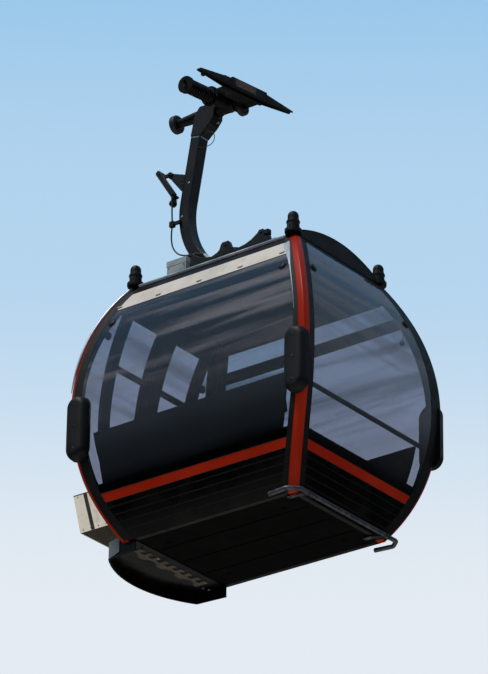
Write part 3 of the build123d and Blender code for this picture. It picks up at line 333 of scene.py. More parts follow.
grip_fixings = [
    *bolts([(-0.451, 0.034, 0.074)], left, 0.026), *bolts([(0.081, 0.034, 0.074)], right, 0.026),
    *bolts([(x, 0.100, 0.118) for x in (-0.190, -0.090, 0.010)], upward, 0.024),
    *bolts(circle(6, 0.076, (-0.266, 0.320, 0.055), ahead, upward, 0.26), left, 0.015),
    *bolts([(-0.604, 0.320, 0.040)], left, 0.030),
    *bolts(circle(6, 0.070, (0, swing_y[0] + 0.012, swing_level), right, upward, 0.3), ahead, 0.012),
]
piece("grip_fixings", climbing(grip_fixings), zinc_fixing, "grip")
wear_bronze = finish("rubbed_bronze_plate", ("#4d3c30", "#66503f"), 50, (0.4, 0.6), 5, 120, Metallic=0.4)
wear_plate = block(-0.390, -0.110, -0.0540, -0.0515, -0.008, 0.060)
piece("jaw_wear_plate", climbing([wear_plate]), wear_bronze, "grip_jaw", bevel=0.001)
wear_screws = bolts([(x, -0.0540, z) for x in (-0.372, -0.128) for z in (0.004, 0.048)], behind, 0.009)
piece("jaw_wear_screws", climbing(wear_screws), zinc_fixing, "grip_jaw")

# Closing spring of the grip: oiled round wire wound in ten turns over a guide tube, its end turns closed and
# ground flat. The oil gives it narrow dark highlights.
spring_steel = finish("oiled_spring_wire", ("#17171a", "#2b2b30"), 25, (0.3, 0.5), 3, 100, Metallic=0.8)
spring_y, spring_z, coil_r, wire_r, turns = 0.320, 0.055, 0.057, 0.0085, 10
spring_from, spring_to = -0.5780, -0.2660
winding = np.linspace(0, 1, turns * 28 + 1)
angle = winding * turns * 2 * np.pi
run = np.interp(winding, [0, 0.06, 0.94, 1], [0, 0.025, 0.975, 1])
helix = np.stack([spring_from + wire_r + run * (spring_to - spring_from - 2 * wire_r),
                  spring_y + coil_r * np.cos(angle), spring_z + coil_r * np.sin(angle)], -1)
spring_long = spring_to - spring_from
guide_sleeve = turned([(0, 0), (0.040, 0), (0.040, spring_long), (0, spring_long)],
                      (spring_from, spring_y, spring_z), right, 24)
coil = bar(wire_r, helix, 12, up=right)
spring = piece("closing_spring", climbing([coil, guide_sleeve]), spring_steel, "grip")
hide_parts("grip_spring")

# Rollers: cast polyurethane tyres, worn grey where they run, bonded on steel hubs that five screws on each
# side hold together.
tyre_rubber = finish("worn_polyurethane_tyre", ("#0e0d0e", "#201e1a"), 40, (0.45, 0.65), 4, 150,
                     grime=("#3a352e", 0.5, 30))
roller_table = {"roller_outer": (0.886, 0.045, 0.082, 0.0275), "roller_inner": (0.180, -0.017, 0.072, 0.025)}
for roller, (roller_y, roller_z, roller_r, half) in roller_table.items():
    tyre_side = [(0, half - 0.007), (0.70 * roller_r, half - 0.007), (0.74 * roller_r, half - 0.001),
                 (0.88 * roller_r, half), (0.96 * roller_r, half - 0.003), (roller_r, half - 0.009)]
    tyre_profile = [(r, -h) for r, h in tyre_side] + tyre_side[::-1]
    tyre = piece(roller + "_tyre", climbing([turned(tyre_profile, (0, roller_y, roller_z), ahead, 48)]),
                 tyre_rubber, roller)
    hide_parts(roller)
    hub_side = [(0, half - 0.002), (0.62 * roller_r, half - 0.002), (0.66 * roller_r, half - 0.005),
                (0.68 * roller_r, half - 0.010)]
    hub_profile = [(r, -h) for r, h in hub_side] + hub_side[::-1]
    hub = [turned(hub_profile, (0, roller_y, roller_z), ahead, 40)]
    for way, sense in ((1, ahead), (-1, behind)):
        middle = (0, roller_y + way * (half - 0.002), roller_z)
        hub += bolts(circle(5, 0.585 * roller_r, middle, right, upward), sense, 0.010)
    piece(roller + "_hub", climbing(hub), zinc_fixing, roller)

# Hanger: welded box section and forged head under satin black polyurethane paint, faintly orange-peeled. Weld
# beads run along the box's edges; a pale steel band and a thin bonding wire sit where the arm meets the head.
hanger_paint = finish("satin_black_paint", ("#060709", "#0b0c10"), 350, (0.34, 0.48), 5, 40,
                      grime=("#131417", 0.35, 140), gloss=0.3)
coat(hanger_paint, "hanger_head", "hanger_arm", "suspension_frame", "door_lever", "cable_clips", "door_drive",
     "door_arm_left", "door_arm_right", "door_hanger_left", "door_hanger_right")
mid_z, roof_z = -2.936, -2.936 + 1.150
arm_lean = np.radians(9.8)
arm_top, bend_centre, bend_r, foot_y = (0.634, -0.165), (0.0283, -0.8885), 0.720, -0.150


def arm_line(offset, x):
    """Points down the arm, a distance off its centre line: the straight, the bend's arc, the level foot."""
    turn = np.linspace(arm_lean, -np.pi / 2, 28)
    bend = np.array(bend_centre) + (bend_r + offset) * np.stack([np.cos(turn), np.sin(turn)], -1)
    top = np.array(arm_top) + offset * np.array([np.cos(arm_lean), np.sin(arm_lean)])
    line = np.vstack([top, top + (bend[0] - top) / 2, bend, (foot_y, bend[-1, 1])])
    return np.column_stack([np.full(len(line), x), line])


beads = [bar(0.0032, arm_line(edge, side * 0.0550), up=right) for side in (-1, 1) for edge in (-0.045, 0.045)]
beads += [bar(0.004, [(x, 0.4960, -0.104), (x, 0.5880, -0.158), (x, 0.6810, -0.160)], up=right)
          for x in (-0.0560, 0.0560)]
piece("arm_weld_beads", beads, hanger_paint, "cabin")
arm_down = np.array([0, np.sin(arm_lean), -np.cos(arm_lean)])
arm_out = np.array([0, np.cos(arm_lean), np.sin(arm_lean)])
band_at = np.array([0, arm_top[0], arm_top[1]]) + 0.012 * arm_down
band_corners = [(0.0565, 0.040), (0.0565, -0.040), (0.045, -0.0515), (-0.045, -0.0515), (-0.0565, -0.040),
                (-0.0565, 0.040), (-0.045, 0.0515), (0.045, 0.0515)]
band_path = [band_at + x * np.array(right) + out * arm_out for x, out in band_corners]
bright_steel = finish("bright_stainless_steel", ("#8f9296", "#b3b5b7"), 30, (0.25, 0.4), 2, 30, Metallic=1.0)
band_section = [(-0.0012, -0.006), (0.0012, -0.006), (0.0012, 0.006), (-0.0012, 0.006)]
band = [carried(band_section, band_path, up=arm_down, closed=True),
        *bolts([band_at + 0.052 * arm_out + (0.03, 0, 0)], arm_out, 0.012),
        *bolts([(-0.055, 0.698, -0.604), (-0.055, 0.767, -0.910)], left, 0.020),
        *bolts([(0.030, 0.4625, -0.060)], behind, 0.022)]
piece("arm_band_and_bolts", band, bright_steel, "cabin")
lever_x, lever_y, lever_z = -0.020, 0.7550, -0.570
knob_y, knob_z = lever_y + 0.148, lever_z - 0.152
lever_ends = [(lever_y + 0.275, lever_z + 0.158), (lever_y + 0.170, lever_z + 0.122)]
lever_outline = [(lever_y + y, lever_z + z) for y, z in (
    (0.272, 0.190), (0.290, 0.197), (0.315, 0.178), (0.312, 0.162), (0.135, -0.116), (0.120, -0.120),
    (0.093, -0.102), (0.091, -0.088))]
lever_castings = [prism(lever_outline, (lever_x - 0.034, 0, 0), ahead, upward, 0.024)]
for boss_r, boss_x, end in ((0.028, lever_x - 0.022, lever_ends[1]), (0.026, lever_x - 0.024, lever_ends[0])):
    boss_profile = [(0, 0), (boss_r - 0.002, 0), (boss_r, 0.003), (boss_r, 0.040), (boss_r - 0.002, 0.043),
                    (0, 0.043)]
    lever_castings.append(turned(boss_profile, (boss_x, *end), right, 24))
lever_castings.append(block(-0.090, -0.054, 0.834, 0.880, -0.990, -0.936))
piece("lever_castings", lever_castings, hanger_paint, "cabin", bevel=0.003)
lever_nuts = []
for y, z in lever_ends:
    lever_nuts += bolts([(lever_x - 0.034, y, z)], left, 0.018)
    lever_nuts += bolts([(lever_x + 0.020, y, z)], right, 0.018)
lever_nuts += bolts([(lever_x - 0.062, lever_y + 0.107, lever_z - 0.102)], left, 0.016)
lever_nuts += bolts([(lever_x - 0.012, arm_top[0] + 0.160, lever_z + z) for z in (-0.010, 0.030)],
                    left, 0.014)
piece("lever_nuts", lever_nuts, zinc_fixing, "cabin")

# Frame and drive on the roof: bolted joints on the hub and over the pads, the drive's screwed cover, and the
# nuts on the pivots of the door arms. Same black paint, zinc-plated fixings.
corners, hands = [(sx, sy) for sx in (-1, 1) for sy in (-1, 1)], (("left", -1), ("right", 1))
frame_x, pad_y = 0.420, 0.430
frame_bolts = bolts([(sx * 0.076, y, roof_z + 0.1275) for sx in (-1, 1) for y in (-0.120, 0.0, 0.110)],
                    upward, 0.024)
frame_bolts += bolts([(sx * frame_x, sy * pad_y, roof_z + 0.222) for sx, sy in corners], upward, 0.030)
web_bolts = ((-0.370, 0.222), (-0.105, 0.132), (0.0, 0.216), (0.105, 0.132), (0.370, 0.222))
for sx, sense in ((-1, left), (1, right)):
    frame_bolts += bolts([(sx * (frame_x + 0.014), y, roof_z + z) for y, z in web_bolts], sense, 0.022)
    frame_bolts += bolts([(sx * (frame_x + 0.032), sy * y, roof_z + 0.088) for sy in (-1, 1)
                          for y in (0.250, 0.360, 0.500)], sense, 0.018)
frame_bolts += bolts([(x, y, roof_z + 0.080) for x in (-0.094, 0.094) for y in (0.396, 0.515, 0.634)],
                     upward, 0.013)
frame_bolts += bolts([(sx * x, 0.752, roof_z + 0.020) for sx in (-1, 1) for x in (0.140, 0.260, 0.380)],
                     upward, 0.016)
frame_bolts += bolts([(sx * 0.340, 0.720, roof_z + 0.048) for sx in (-1, 1)], upward, 0.026)
piece("frame_bolts", frame_bolts, zinc_fixing, "cabin")
frame_trim = [block(-0.104, 0.104, 0.386, 0.644, roof_z + 0.079, roof_z + 0.084),
              turned([(0, 0), (0.036, 0), (0.036, 0.014), (0.030, 0.020), (0, 0.020)],
                     (0.030, 0.540, roof_z + 0.082), upward, 28)]
frame_trim += [prism([(0, 0), (0.060, 0), (0, 0.050)], (sx * frame_x - 0.006, sy * 0.541, roof_z + 0.066),
                     (0, sy, 0), upward, 0.012 * sy) for sx, sy in corners]
frame_trim += [prism([(0, 0), (0, 0.046), (0.120, 0.046)], (x, 0.150, roof_z + 0.064), ahead, upward, 0.012)
               for x in (-0.060, 0.048)]
horn = [(0.470, 0.110), (0.458, 0.168), (0.432, 0.206), (0.390, 0.248), (0.350, 0.248), (0.332, 0.224),
        (0.270, 0.184), (0.205, 0.160), (0.145, 0.151), (0.100, 0.160), (0.062, 0.188), (0.046, 0.232),
        (0.030, 0.248)]
horn_plate = horn + [(-y, z) for y, z in horn[::-1]]
frame_trim += [prism(horn_plate, (sx * frame_x - 0.014, 0, roof_z), ahead, upward, 0.028) for sx in (-1, 1)]
piece("frame_and_drive_trim", frame_trim, hanger_paint, "cabin", bevel=0.002)
pivot_x, pivot_y = 0.090, 0.720
for hand, side in hands:
    arm_nut = bolts([(side * pivot_x, pivot_y, roof_z + 0.065)], upward, 0.026)
    piece("door_arm_nut_" + hand, arm_nut, zinc_fixing, "door_arm_" + hand)
    plate_bolts = bolts([(side * pivot_x + x, 0.939, mid_z + z) for x in (-0.012, 0.012)
                         for z in (1.012, 1.042)], ahead, 0.014)
    piece("hanger_bolts_" + hand, plate_bolts, zinc_fixing, "door_" + hand)

# Door cable: black sheathed push-pull cable on one smooth line from the lever to the drive, with a ferrule at
# the lever, a gland nut on the drive and a pale sleeve where it bends. The bonding wire at the head, 7 mm
# across and sheathed too, has a plated lug at each end.
cable_sheath = finish("black_cable_sheath", ("#0b0b0c", "#141415"), 60, (0.4, 0.55), 2, 40)
cable_x = -0.072
cable_route = [(cable_x, y, z) for y, z in (
    (0.862, -0.6845), (0.866, -0.830), (0.856, -0.960), (0.868, -1.080), (0.850, -1.190), (0.790, -1.270),
    (0.700, -1.310), (0.590, -1.318), (0.500, -1.350), (0.440, -1.430), (0.420, -1.530), (0.430, -1.620),
    (0.430, roof_z + 0.0803))]
wire_route = [(-0.045, 0.566, -0.158), (-0.052, 0.500, -0.165), (-0.060, 0.425, -0.205),
              (-0.062, 0.425, -0.290), (-0.055, 0.500, -0.318), (-0.045, 0.6035, -0.290)]


def cable(name, route, radius, body):
    """Sheathed cable: a smooth NURBS line of order 3 through to both ends of its route."""
    line = bpy.data.curves.new(name, "CURVE")
    line.dimensions, line.bevel_depth, line.bevel_resolution, line.use_fill_caps = "3D", radius, 4, True
    spline = line.splines.new("NURBS")
    spline.points.add(len(route) - 1)
    for point, place in zip(spline.points, route):
        point.co = (*place, 1)
    spline.order_u, spline.use_endpoint_u, spline.resolution_u = 3, True, 8
    line.materials.append(cable_sheath)
    made = bpy.data.objects.new(name, line)
    bpy.context.collection.objects.link(made)
    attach(made, body)
    return made


def line_points(made):
    """Points along a cable's own line, from a copy of it without thickness."""
    bare = made.data.copy()
    bare.bevel_depth, bare.use_fill_caps = 0.0, False
    holder = bpy.data.objects.new("bare_line", bare)
    bpy.context.collection.objects.link(holder)
    bpy.context.view_layer.update()
    mesh = bpy.data.meshes.new_from_object(holder.evaluated_get(bpy.context.evaluated_depsgraph_get()))
    points = np.array([vertex.co for vertex in mesh.vertices])
    bpy.data.objects.remove(holder)
    bpy.data.curves.remove(bare)
    bpy.data.meshes.remove(mesh)
    return points


door_cable = cable("door_cable_sheathed", cable_route, 0.007, "cabin")
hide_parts("door_cable")
bonding_wire = cable("bonding_wire", wire_route, 0.0035, "cabin")
cable_line = line_points(door_cable)
sleeve_line = cable_line[(cable_line[:, 2] < -1.352) & (cable_line[:, 2] > -1.440)]
pale_sleeve = finish("pale_grey_sleeve", ("#a3b0b6", "#bcc8cd"), 30, (0.4, 0.55), 2, 40)
sleeve = piece("cable_sleeve", [bar(0.0125, sleeve_line, 14, up=right)], pale_sleeve, "cabin")
ferrule_profile = [(0, -0.012), (0.010, -0.012), (0.010, 0.012), (0.0115, 0.014), (0.0115, 0.040),
                   (0.0085, 0.046), (0.0085, 0.060), (0, 0.060)]
gland_profile = [(0, 0), (0.014, 0), (0.014, 0.012), (0.0105, 0.016), (0.0105, 0.030), (0.008, 0.034),
                 (0, 0.034)]
ends = piece("cable_ends", [turned(ferrule_profile, cable_route[0], (0, 0.02, -1), 16),
                            turned(gland_profile, (cable_x, 0.430, roof_z + 0.080), upward, 6)],
             zinc_fixing, "cabin")
wire_lug = [(0, -0.004), (0.009, -0.004), (0.009, 0.004), (0.006, 0.009), (0, 0.009)]
wire_lugs = piece("bonding_wire_lugs", [turned(wire_lug, wire_route[0], (0, -0.74, -0.67), 12),
                                        turned(wire_lug, wire_route[-1], (0, -1, -0.17), 12)],
                  zinc_fixing, "cabin")

# Rubber: frame pads, roof buffers, the lever's knob and the bumpers, moulded EPDM gone slightly grey. Bumpers
# are pillows held by three screws in moulded dimples, and buffers are held by four screws at the foot.
black_rubber = finish("weathered_epdm_rubber", ("#050507", "#0b0b0d"), 120, (0.42, 0.6), 5, 200,
                      grime=("#111214", 0.3, 90), gloss=0.25)
coat(black_rubber, "frame_pads", "roof_buffers")
knob_r, buffer_x, buffer_y = 0.031, 0.590, 0.820
knob_turn = np.linspace(0, np.pi, 13)
knob_profile = knob_r * np.stack([np.sin(knob_turn), -np.cos(knob_turn)], -1)
knob = turned(knob_profile, (lever_x + 0.006, knob_y, knob_z), right, 24)
ring_profile = [(0, 0.096), (0.054, 0.096), (0.057, 0.100), (0.057, 0.108), (0.054, 0.112), (0, 0.112)]
buffer_rings = [turned(ring_profile, (sx * buffer_x, sy * buffer_y, roof_z), upward, 32)
                for sx, sy in corners]
rib_outline, rib_thick = [(0.048, 0.034), (0.068, 0.034), (0.048, 0.094)], 0.008
buffer_ribs, buffer_screws = [], []
for sx, sy in corners:
    for u, v in ((right, behind), (left, ahead), (ahead, right), (behind, left)):
        rib_foot = (sx * buffer_x - rib_thick / 2 * v[0], sy * buffer_y - rib_thick / 2 * v[1], roof_z)
        buffer_ribs.append(prism(rib_outline, rib_foot, u, upward, rib_thick))
    holes = circle(4, 0.061, (sx * buffer_x, sy * buffer_y, roof_z + 0.036), right, ahead, np.pi / 4)
    buffer_screws += bolts(holes, upward, 0.0095)
piece("moulded_rubber_details", [knob, *buffer_rings, *buffer_ribs], black_rubber, "cabin")
# Each bumper's face is rings about its upright spine, out to two half circles and sunk more towards the rim.
bumper_z, bumper_y, bumper_out = -0.190, 1.1118, 0.9879
bumper_deep, bumper_r, bumper_run = 0.094, 0.108, 0.182
rim = np.linspace(0, 2 * np.pi, 72, endpoint=False)
spine = np.where(np.sin(rim) >= 0, bumper_run, -bumper_run) * (np.abs(np.sin(rim)) > 1e-9)
reach = np.sqrt(np.linspace(0, 1, 15))[:, None]
bumper_across, bumper_up = reach * bumper_r * np.cos(rim), spine + reach * bumper_r * np.sin(rim)
bumper_sink = np.broadcast_to(bumper_deep * (1 - np.sqrt(1 - reach**4.6)), bumper_up.shape)
pillows = []
for sx, sy in corners:
    pillow = np.stack([sx * (bumper_out - bumper_sink), sy * bumper_y + bumper_across,
                       mid_z + bumper_z + bumper_up], -1)
    back = np.repeat(pillow[-1:].mean(1, keepdims=True), len(rim), 1)
    pillows.append(woven(np.concatenate([pillow, back])))
pads = piece("moulded_bumpers", pillows, black_rubber, "cabin", crease=60)
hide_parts("corner_bumpers")
screw = [(0, -0.001), (0.0115, -0.001), (0.0115, 0.0015), (0.009, 0.0025), (0.0085, 0.0008), (0.003, 0.0008),
         (0, 0.0004)]
bumper_screws = [turned(screw, (sx * bumper_out, sy * bumper_y, mid_z + z), (sx, 0, 0), 20)
                 for sx, sy in corners for z in (0.002, -0.190, -0.389)]
piece("rubber_screws", bumper_screws + buffer_screws, zinc_fixing, "cabin")


# Corner posts: bowed aluminium extrusions with a rounded outer corner, coated orange-red over their whole
# height. Silver and black cover strips are clipped over them, and black seals frame the glass beside them.
def barrel_half(kind, z):
    """Half length or width of the barrel at height z: an arc upright at mid-height, then a tangent arc."""
    z, quarter_rise = np.asarray(z, float), 0.5625
    middle, up, down = {"end": (0.930, (0.864, 0.608), (0.876, 0.642)),
                        "side": (1.200, (1.121, 0.864), (1.127, 0.890))}[kind]
    quarter, end = (np.where(z >= 0, up[i], down[i]) for i in (0, 1))
    sink = middle - quarter
    first_r = (quarter_rise**2 + sink**2) / (2 * sink)
    ux, uz = (quarter - middle + first_r) / first_r, quarter_rise / first_r
    dx, dz = end - quarter, quarter_rise
    second_r = -(dx**2 + dz**2) / (2 * (dx * ux + dz * uz))
    centre_x, centre_z = quarter - second_r * ux, quarter_rise - second_r * uz
    near = middle - first_r + np.sqrt(np.maximum(first_r**2 - z**2, 0))
    far = centre_x + np.sqrt(np.maximum(second_r**2 - (np.abs(z) - centre_z) ** 2, 0))
    return np.where(np.abs(z) <= quarter_rise, near, far)


def on_wall(face, along, height, out=0.0):
    """Places on a wall: face is ("end" or "side", sign), along and out are level, height is from mid_z."""
    kind, side = face
    along, height, out = np.broadcast_arrays(np.asarray(along, float), height, out)
    deep = side * (barrel_half(kind, height) + out)
    return np.stack([deep, along, mid_z + height] if kind == "end" else [along, deep, mid_z + height], -1)


def wall_normal(face, height):
    """Outward direction of a wall at each height, square to the barrel's slope there."""
    here, step = np.asarray(height), 0.001
    slope = (barrel_half(face[0], here + step) - barrel_half(face[0], here - step)) / (2 * step)
    level = np.array((face[1], 0, 0) if face[0] == "end" else (0, face[1], 0), float)
    normal = level - np.multiply.outer(slope, np.array([0.0, 0.0, 1.0]))
    return normal / np.linalg.norm(normal, axis=-1, keepdims=True)


def strip(face, along, height, width, proud, sunk=0.0015):
    """Raised strip along a line on a wall: flat-topped section with chamfered shoulders, its ends closed."""
    along, height, width = np.broadcast_arrays(np.asarray(along, float), height, width)
    path, normal = on_wall(face, along, height), wall_normal(face, height)
    across = np.cross(normal, np.gradient(path, axis=0))
    across /= np.linalg.norm(across, axis=-1, keepdims=True)
    half, soft = width / 2, np.minimum(0.3 * width, 0.4 * proud)
    sides = np.stack([-half, -half, soft - half, half - soft, half, half], -1)
    tops = np.array([-sunk, 0.6 * proud, proud, proud, 0.6 * proud, -sunk])
    rings = path[:, None] + sides[..., None] * across[:, None] + tops[:, None] * normal[:, None]
    ends = [np.repeat(path[end][None, None], 6, 1) for end in (0, -1)]
    return woven(np.concatenate([ends[0], rings, ends[1]]))


def heights(low, high, step=0.05):
    """Evenly spread heights, close enough together to follow the barrel."""
    return np.linspace(low, high, max(2, int(abs(high - low) / step) + 1))


orange_coat = finish("orange_red_coat", ("#9a1e03", "#a82506"), 500, (0.28, 0.40), 6, 30,
                     grime=("#7a1604", 0.3, 260), gloss=0.12)
coat(orange_coat, "waist_stripes", "door_stripe_left", "door_stripe_right")
post_r, post_w = 0.020, 0.066
post_turn = np.linspace(0, np.pi / 2, 7)
post_round = post_r * (1 - np.stack([np.cos(post_turn), np.sin(post_turn)], -1))
post_section = np.vstack([(0, post_w), post_round, (post_w, 0), (post_w, post_w)])
post_heights = heights(-1.156, 1.125, 0.03)
posts = []
for sx, sy in corners:
    post = np.empty((len(post_heights), len(post_section), 3))
    post[..., 0] = sx * (barrel_half("end", post_heights)[:, None] - post_section[:, 0])
    post[..., 1] = sy * (barrel_half("side", post_heights)[:, None] - post_section[:, 1])
    post[..., 2] = mid_z + post_heights[:, None]
    caps = [np.repeat(post[end].mean(0)[None, None], len(post_section), 1) for end in (0, -1)]
    posts.append(woven(np.concatenate([caps[0], post, caps[1]])))
bowed_posts = piece("bowed_posts", posts, orange_coat, "cabin", crease=50)
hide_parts("corner_posts")
end_faces, side_faces = [("end", -1), ("end", 1)], [("side", -1), ("side", 1)]
left_end, (tower_side, door_side) = end_faces[0], side_faces


def beside_post(face, height, off):
    """Level place on a wall, so far in from the outer edge of the post, on the positive side."""
    return barrel_half("side" if face[0] == "end" else "end", height) - off


silver_trim = finish("satin_silver_extrusion", ("#98a0a8", "#b4bac0"), 200, (0.3, 0.42), 3, 30,
                     stretch=(1, 1, 8), Metallic=0.9)
trim_high, trim_low = heights(0.27, 1.04), heights(0.15, 1.135)
silver = [strip(face, -beside_post(face, trim_high, 0.106), trim_high,
                np.interp(trim_high, [0.27, 0.72, 1.0], [0.006, 0.010, 0.058]), 0.0035) for face in end_faces]
gutter_swell = np.interp(trim_low, [0.15, 0.45, 0.8], [0.25, 0.75, 1.0])
silver += [bar(0.015, on_wall(face, beside_post(face, trim_low, 0.004), trim_low, 0.004), 14, up=ahead,
               swell=gutter_swell) for face in end_faces]
piece("silver_trim", silver, silver_trim, "cabin")


def round_barrel(level, width, proud, off, doorway):
    """Level strips round the barrel at one height: whole on three walls, and in two beside the doorway."""
    whole_strips = []
    for face in (*end_faces, tower_side):
        edge = beside_post(face, level, off)
        whole_strips.append(strip(face, (-edge, edge), level, width, proud))
    edge = beside_post(door_side, level, off)
    return whole_strips + [strip(door_side, sorted((side * doorway, side * edge)), level, width, proud)
                           for side in (-1, 1)]


seal_rubber = finish("black_seal_rubber", ("#050506", "#0b0b0d"), 90, (0.45, 0.6), 4, 100, gloss=0.25)
whole = heights(-1.150, 1.120)
glass_edges = [(face, 0.091, 0.050) for face in end_faces] + [(face, 0.096, 0.060) for face in side_faces]
seals = [strip(face, side * beside_post(face, whole, off), whole, width, 0.002)
         for face, off, width in glass_edges for side in (-1, 1)]
seals += [strip(face, beside_post(face, whole, 0.0495), whole, 0.033, 0.0025) for face in end_faces]
for low, high, off, width in ((-0.480, 1.120, 0.034, 0.064), (-1.150, -0.480, 0.046, 0.042)):
    cover = heights(low, high)
    seals.append(strip(tower_side, beside_post(tower_side, cover, off), cover, width, 0.002))
for face, low_edge in zip(end_faces, (0.885, 0.838)):
    edge = beside_post(face, low_edge, 0.067)
    seals.append(strip(face, (-edge, edge), low_edge, 0.006, 0.002))
for level in (-0.779, -0.855):
    seals += round_barrel(level, 0.005, 0.002, 0.067, 0.534)
piece("glazing_seals", seals, seal_rubber, "cabin")

# Roof: gloss black glass-fibre panel with low stiffening ribs, whose slight waves soften what it mirrors.
# Silver edge rails lie over a gap at both ends, a matt black sheet fairing is bolted along the tower side,
# and a box with a chalky light grey powder coat and a hinged lid stands at the left end.
black_panel = finish("gloss_black_panel", ("#020203", "#040406"), 400, (0.24, 0.36), 30, 120,
                     grime=("#070709", 0.5, 200), gloss=0.15)
coat(black_panel, "wall_end_a", "wall_end_b", "wall_side_a", "wall_side_b", "door_leaf_left",
     "door_leaf_right", "roof_panel", "door_tray")
matt_sheet = finish("matt_black_sheet", ("#090b0d", "#0f1214"), 260, (0.5, 0.65), 6, 60,
                    grime=("#16191b", 0.4, 150), gloss=0.3)
coat(matt_sheet, "side_fairing")
rail_x, rail_z, rail_end = 0.606, mid_z + 1.1378, 0.765
rail_tip = [(0, 0), (0.011, 0.001), (0.0155, 0.006)]
rail_profile = rail_tip + [(r, 2 * rail_end - h) for r, h in rail_tip[::-1]]
edge_rails = piece("edge_rails", [turned(rail_profile, (sx * rail_x, -rail_end, rail_z), ahead, 24)
                                  for sx in (-1, 1)], silver_trim, "cabin")
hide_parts("roof_rails")
roof_ribs = [block(-0.540, 0.540, y - 0.014, y + 0.014, roof_z - 0.002, roof_z + 0.008)
             for y in (-0.720, -0.560, -0.290, 0.290)]
piece("roof_ribs", roof_ribs, black_panel, "cabin", bevel=0.004)
fairing_ribs = [prism([(0, 0), (0.090, 0), (0, high)], (x, -0.815, roof_z - 0.001), ahead, upward, 0.010)
                for x, high in ((-0.400, 0.080), (-0.200, 0.120), (0.0, 0.140), (0.190, 0.120),
                                (0.390, 0.080))]
fairing_x = np.linspace(-0.516, 0.516, 25)
fairing_top = roof_z + 0.062 + 0.108 * (1 - (fairing_x / 0.520) ** 2)
edge_fold = [(-0.015, -0.004), (0.015, -0.004), (0.015, 0.002), (-0.015, 0.002)]
fairing_ribs += [carried(edge_fold, np.column_stack([fairing_x, np.full(25, -0.826), fairing_top])),
                 block(-0.518, 0.518, -0.848, -0.826, roof_z + 0.001, roof_z + 0.010)]
piece("fairing_edges", fairing_ribs, matt_sheet, "cabin", bevel=0.002)
box_face = -0.5635
box_trim = [block(-0.563, -0.507, 0.305, 0.515, roof_z + 0.104, roof_z + 0.156),
            block(box_face, -0.5595, 0.322, 0.498, roof_z + 0.014, roof_z + 0.096)]
grey_coat = finish("light_grey_powder_coat", ("#87949a", "#97a4a9"), 200, (0.4, 0.55), 4, 80,
                   grime=("#5f676b", 0.4, 90))
coat(grey_coat, "roof_box")
piece("box_lid_and_panel", box_trim, grey_coat, "cabin", bevel=0.0015)
roof_fixings = bolts([(x, -0.838, roof_z + 0.026) for x in np.linspace(-0.480, 0.480, 9)], behind, 0.014)
roof_fixings += bolts([(box_face, y, roof_z + z) for y in (0.332, 0.488) for z in (0.024, 0.086)],
                      left, 0.009)
piece("roof_fixings", roof_fixings, zinc_fixing, "cabin")

# Walls, skirts and doors: the same black panels. The skirts carry pressed ribs; the leaves close on soft
# rubber bulbs at the middle, the outer edges, the top and the foot.
skirt_ribs = []
for level in (-0.900, -0.960, -1.020, -1.080):
    skirt_ribs += round_barrel(level, 0.010, 0.003, 0.078, 0.545)
satin_rib = finish("satin_black_rib", ("#030304", "#060607"), 300, (0.35, 0.5), 8, 60, gloss=0.2)
piece("skirt_ribs", skirt_ribs, satin_rib, "cabin")
upright = heights(-1.054, 1.054)
door_lines = ((-1.051, 0.012), (-0.855, 0.005), (-0.779, 0.005), (0.985, 0.005), (1.051, 0.012))
for hand, side in hands:
    bulbs = [strip(door_side, np.full(len(upright), side * x), upright, 0.012, proud)
             for x, proud in ((0.011, 0.004), (0.518, 0.003))]
    bulbs += [strip(door_side, sorted((side * 0.008, side * 0.521)), level, width, 0.002)
              for level, width in door_lines]
    piece("door_seals_" + hand, bulbs, seal_rubber, "door_" + hand)
    leaf_ribs = [strip(door_side, sorted((side * 0.022, side * 0.508)), level, 0.010, 0.003)
                 for level in (-0.960, -1.020)]
    piece("door_ribs_" + hand, leaf_ribs, satin_rib, "door_" + hand)


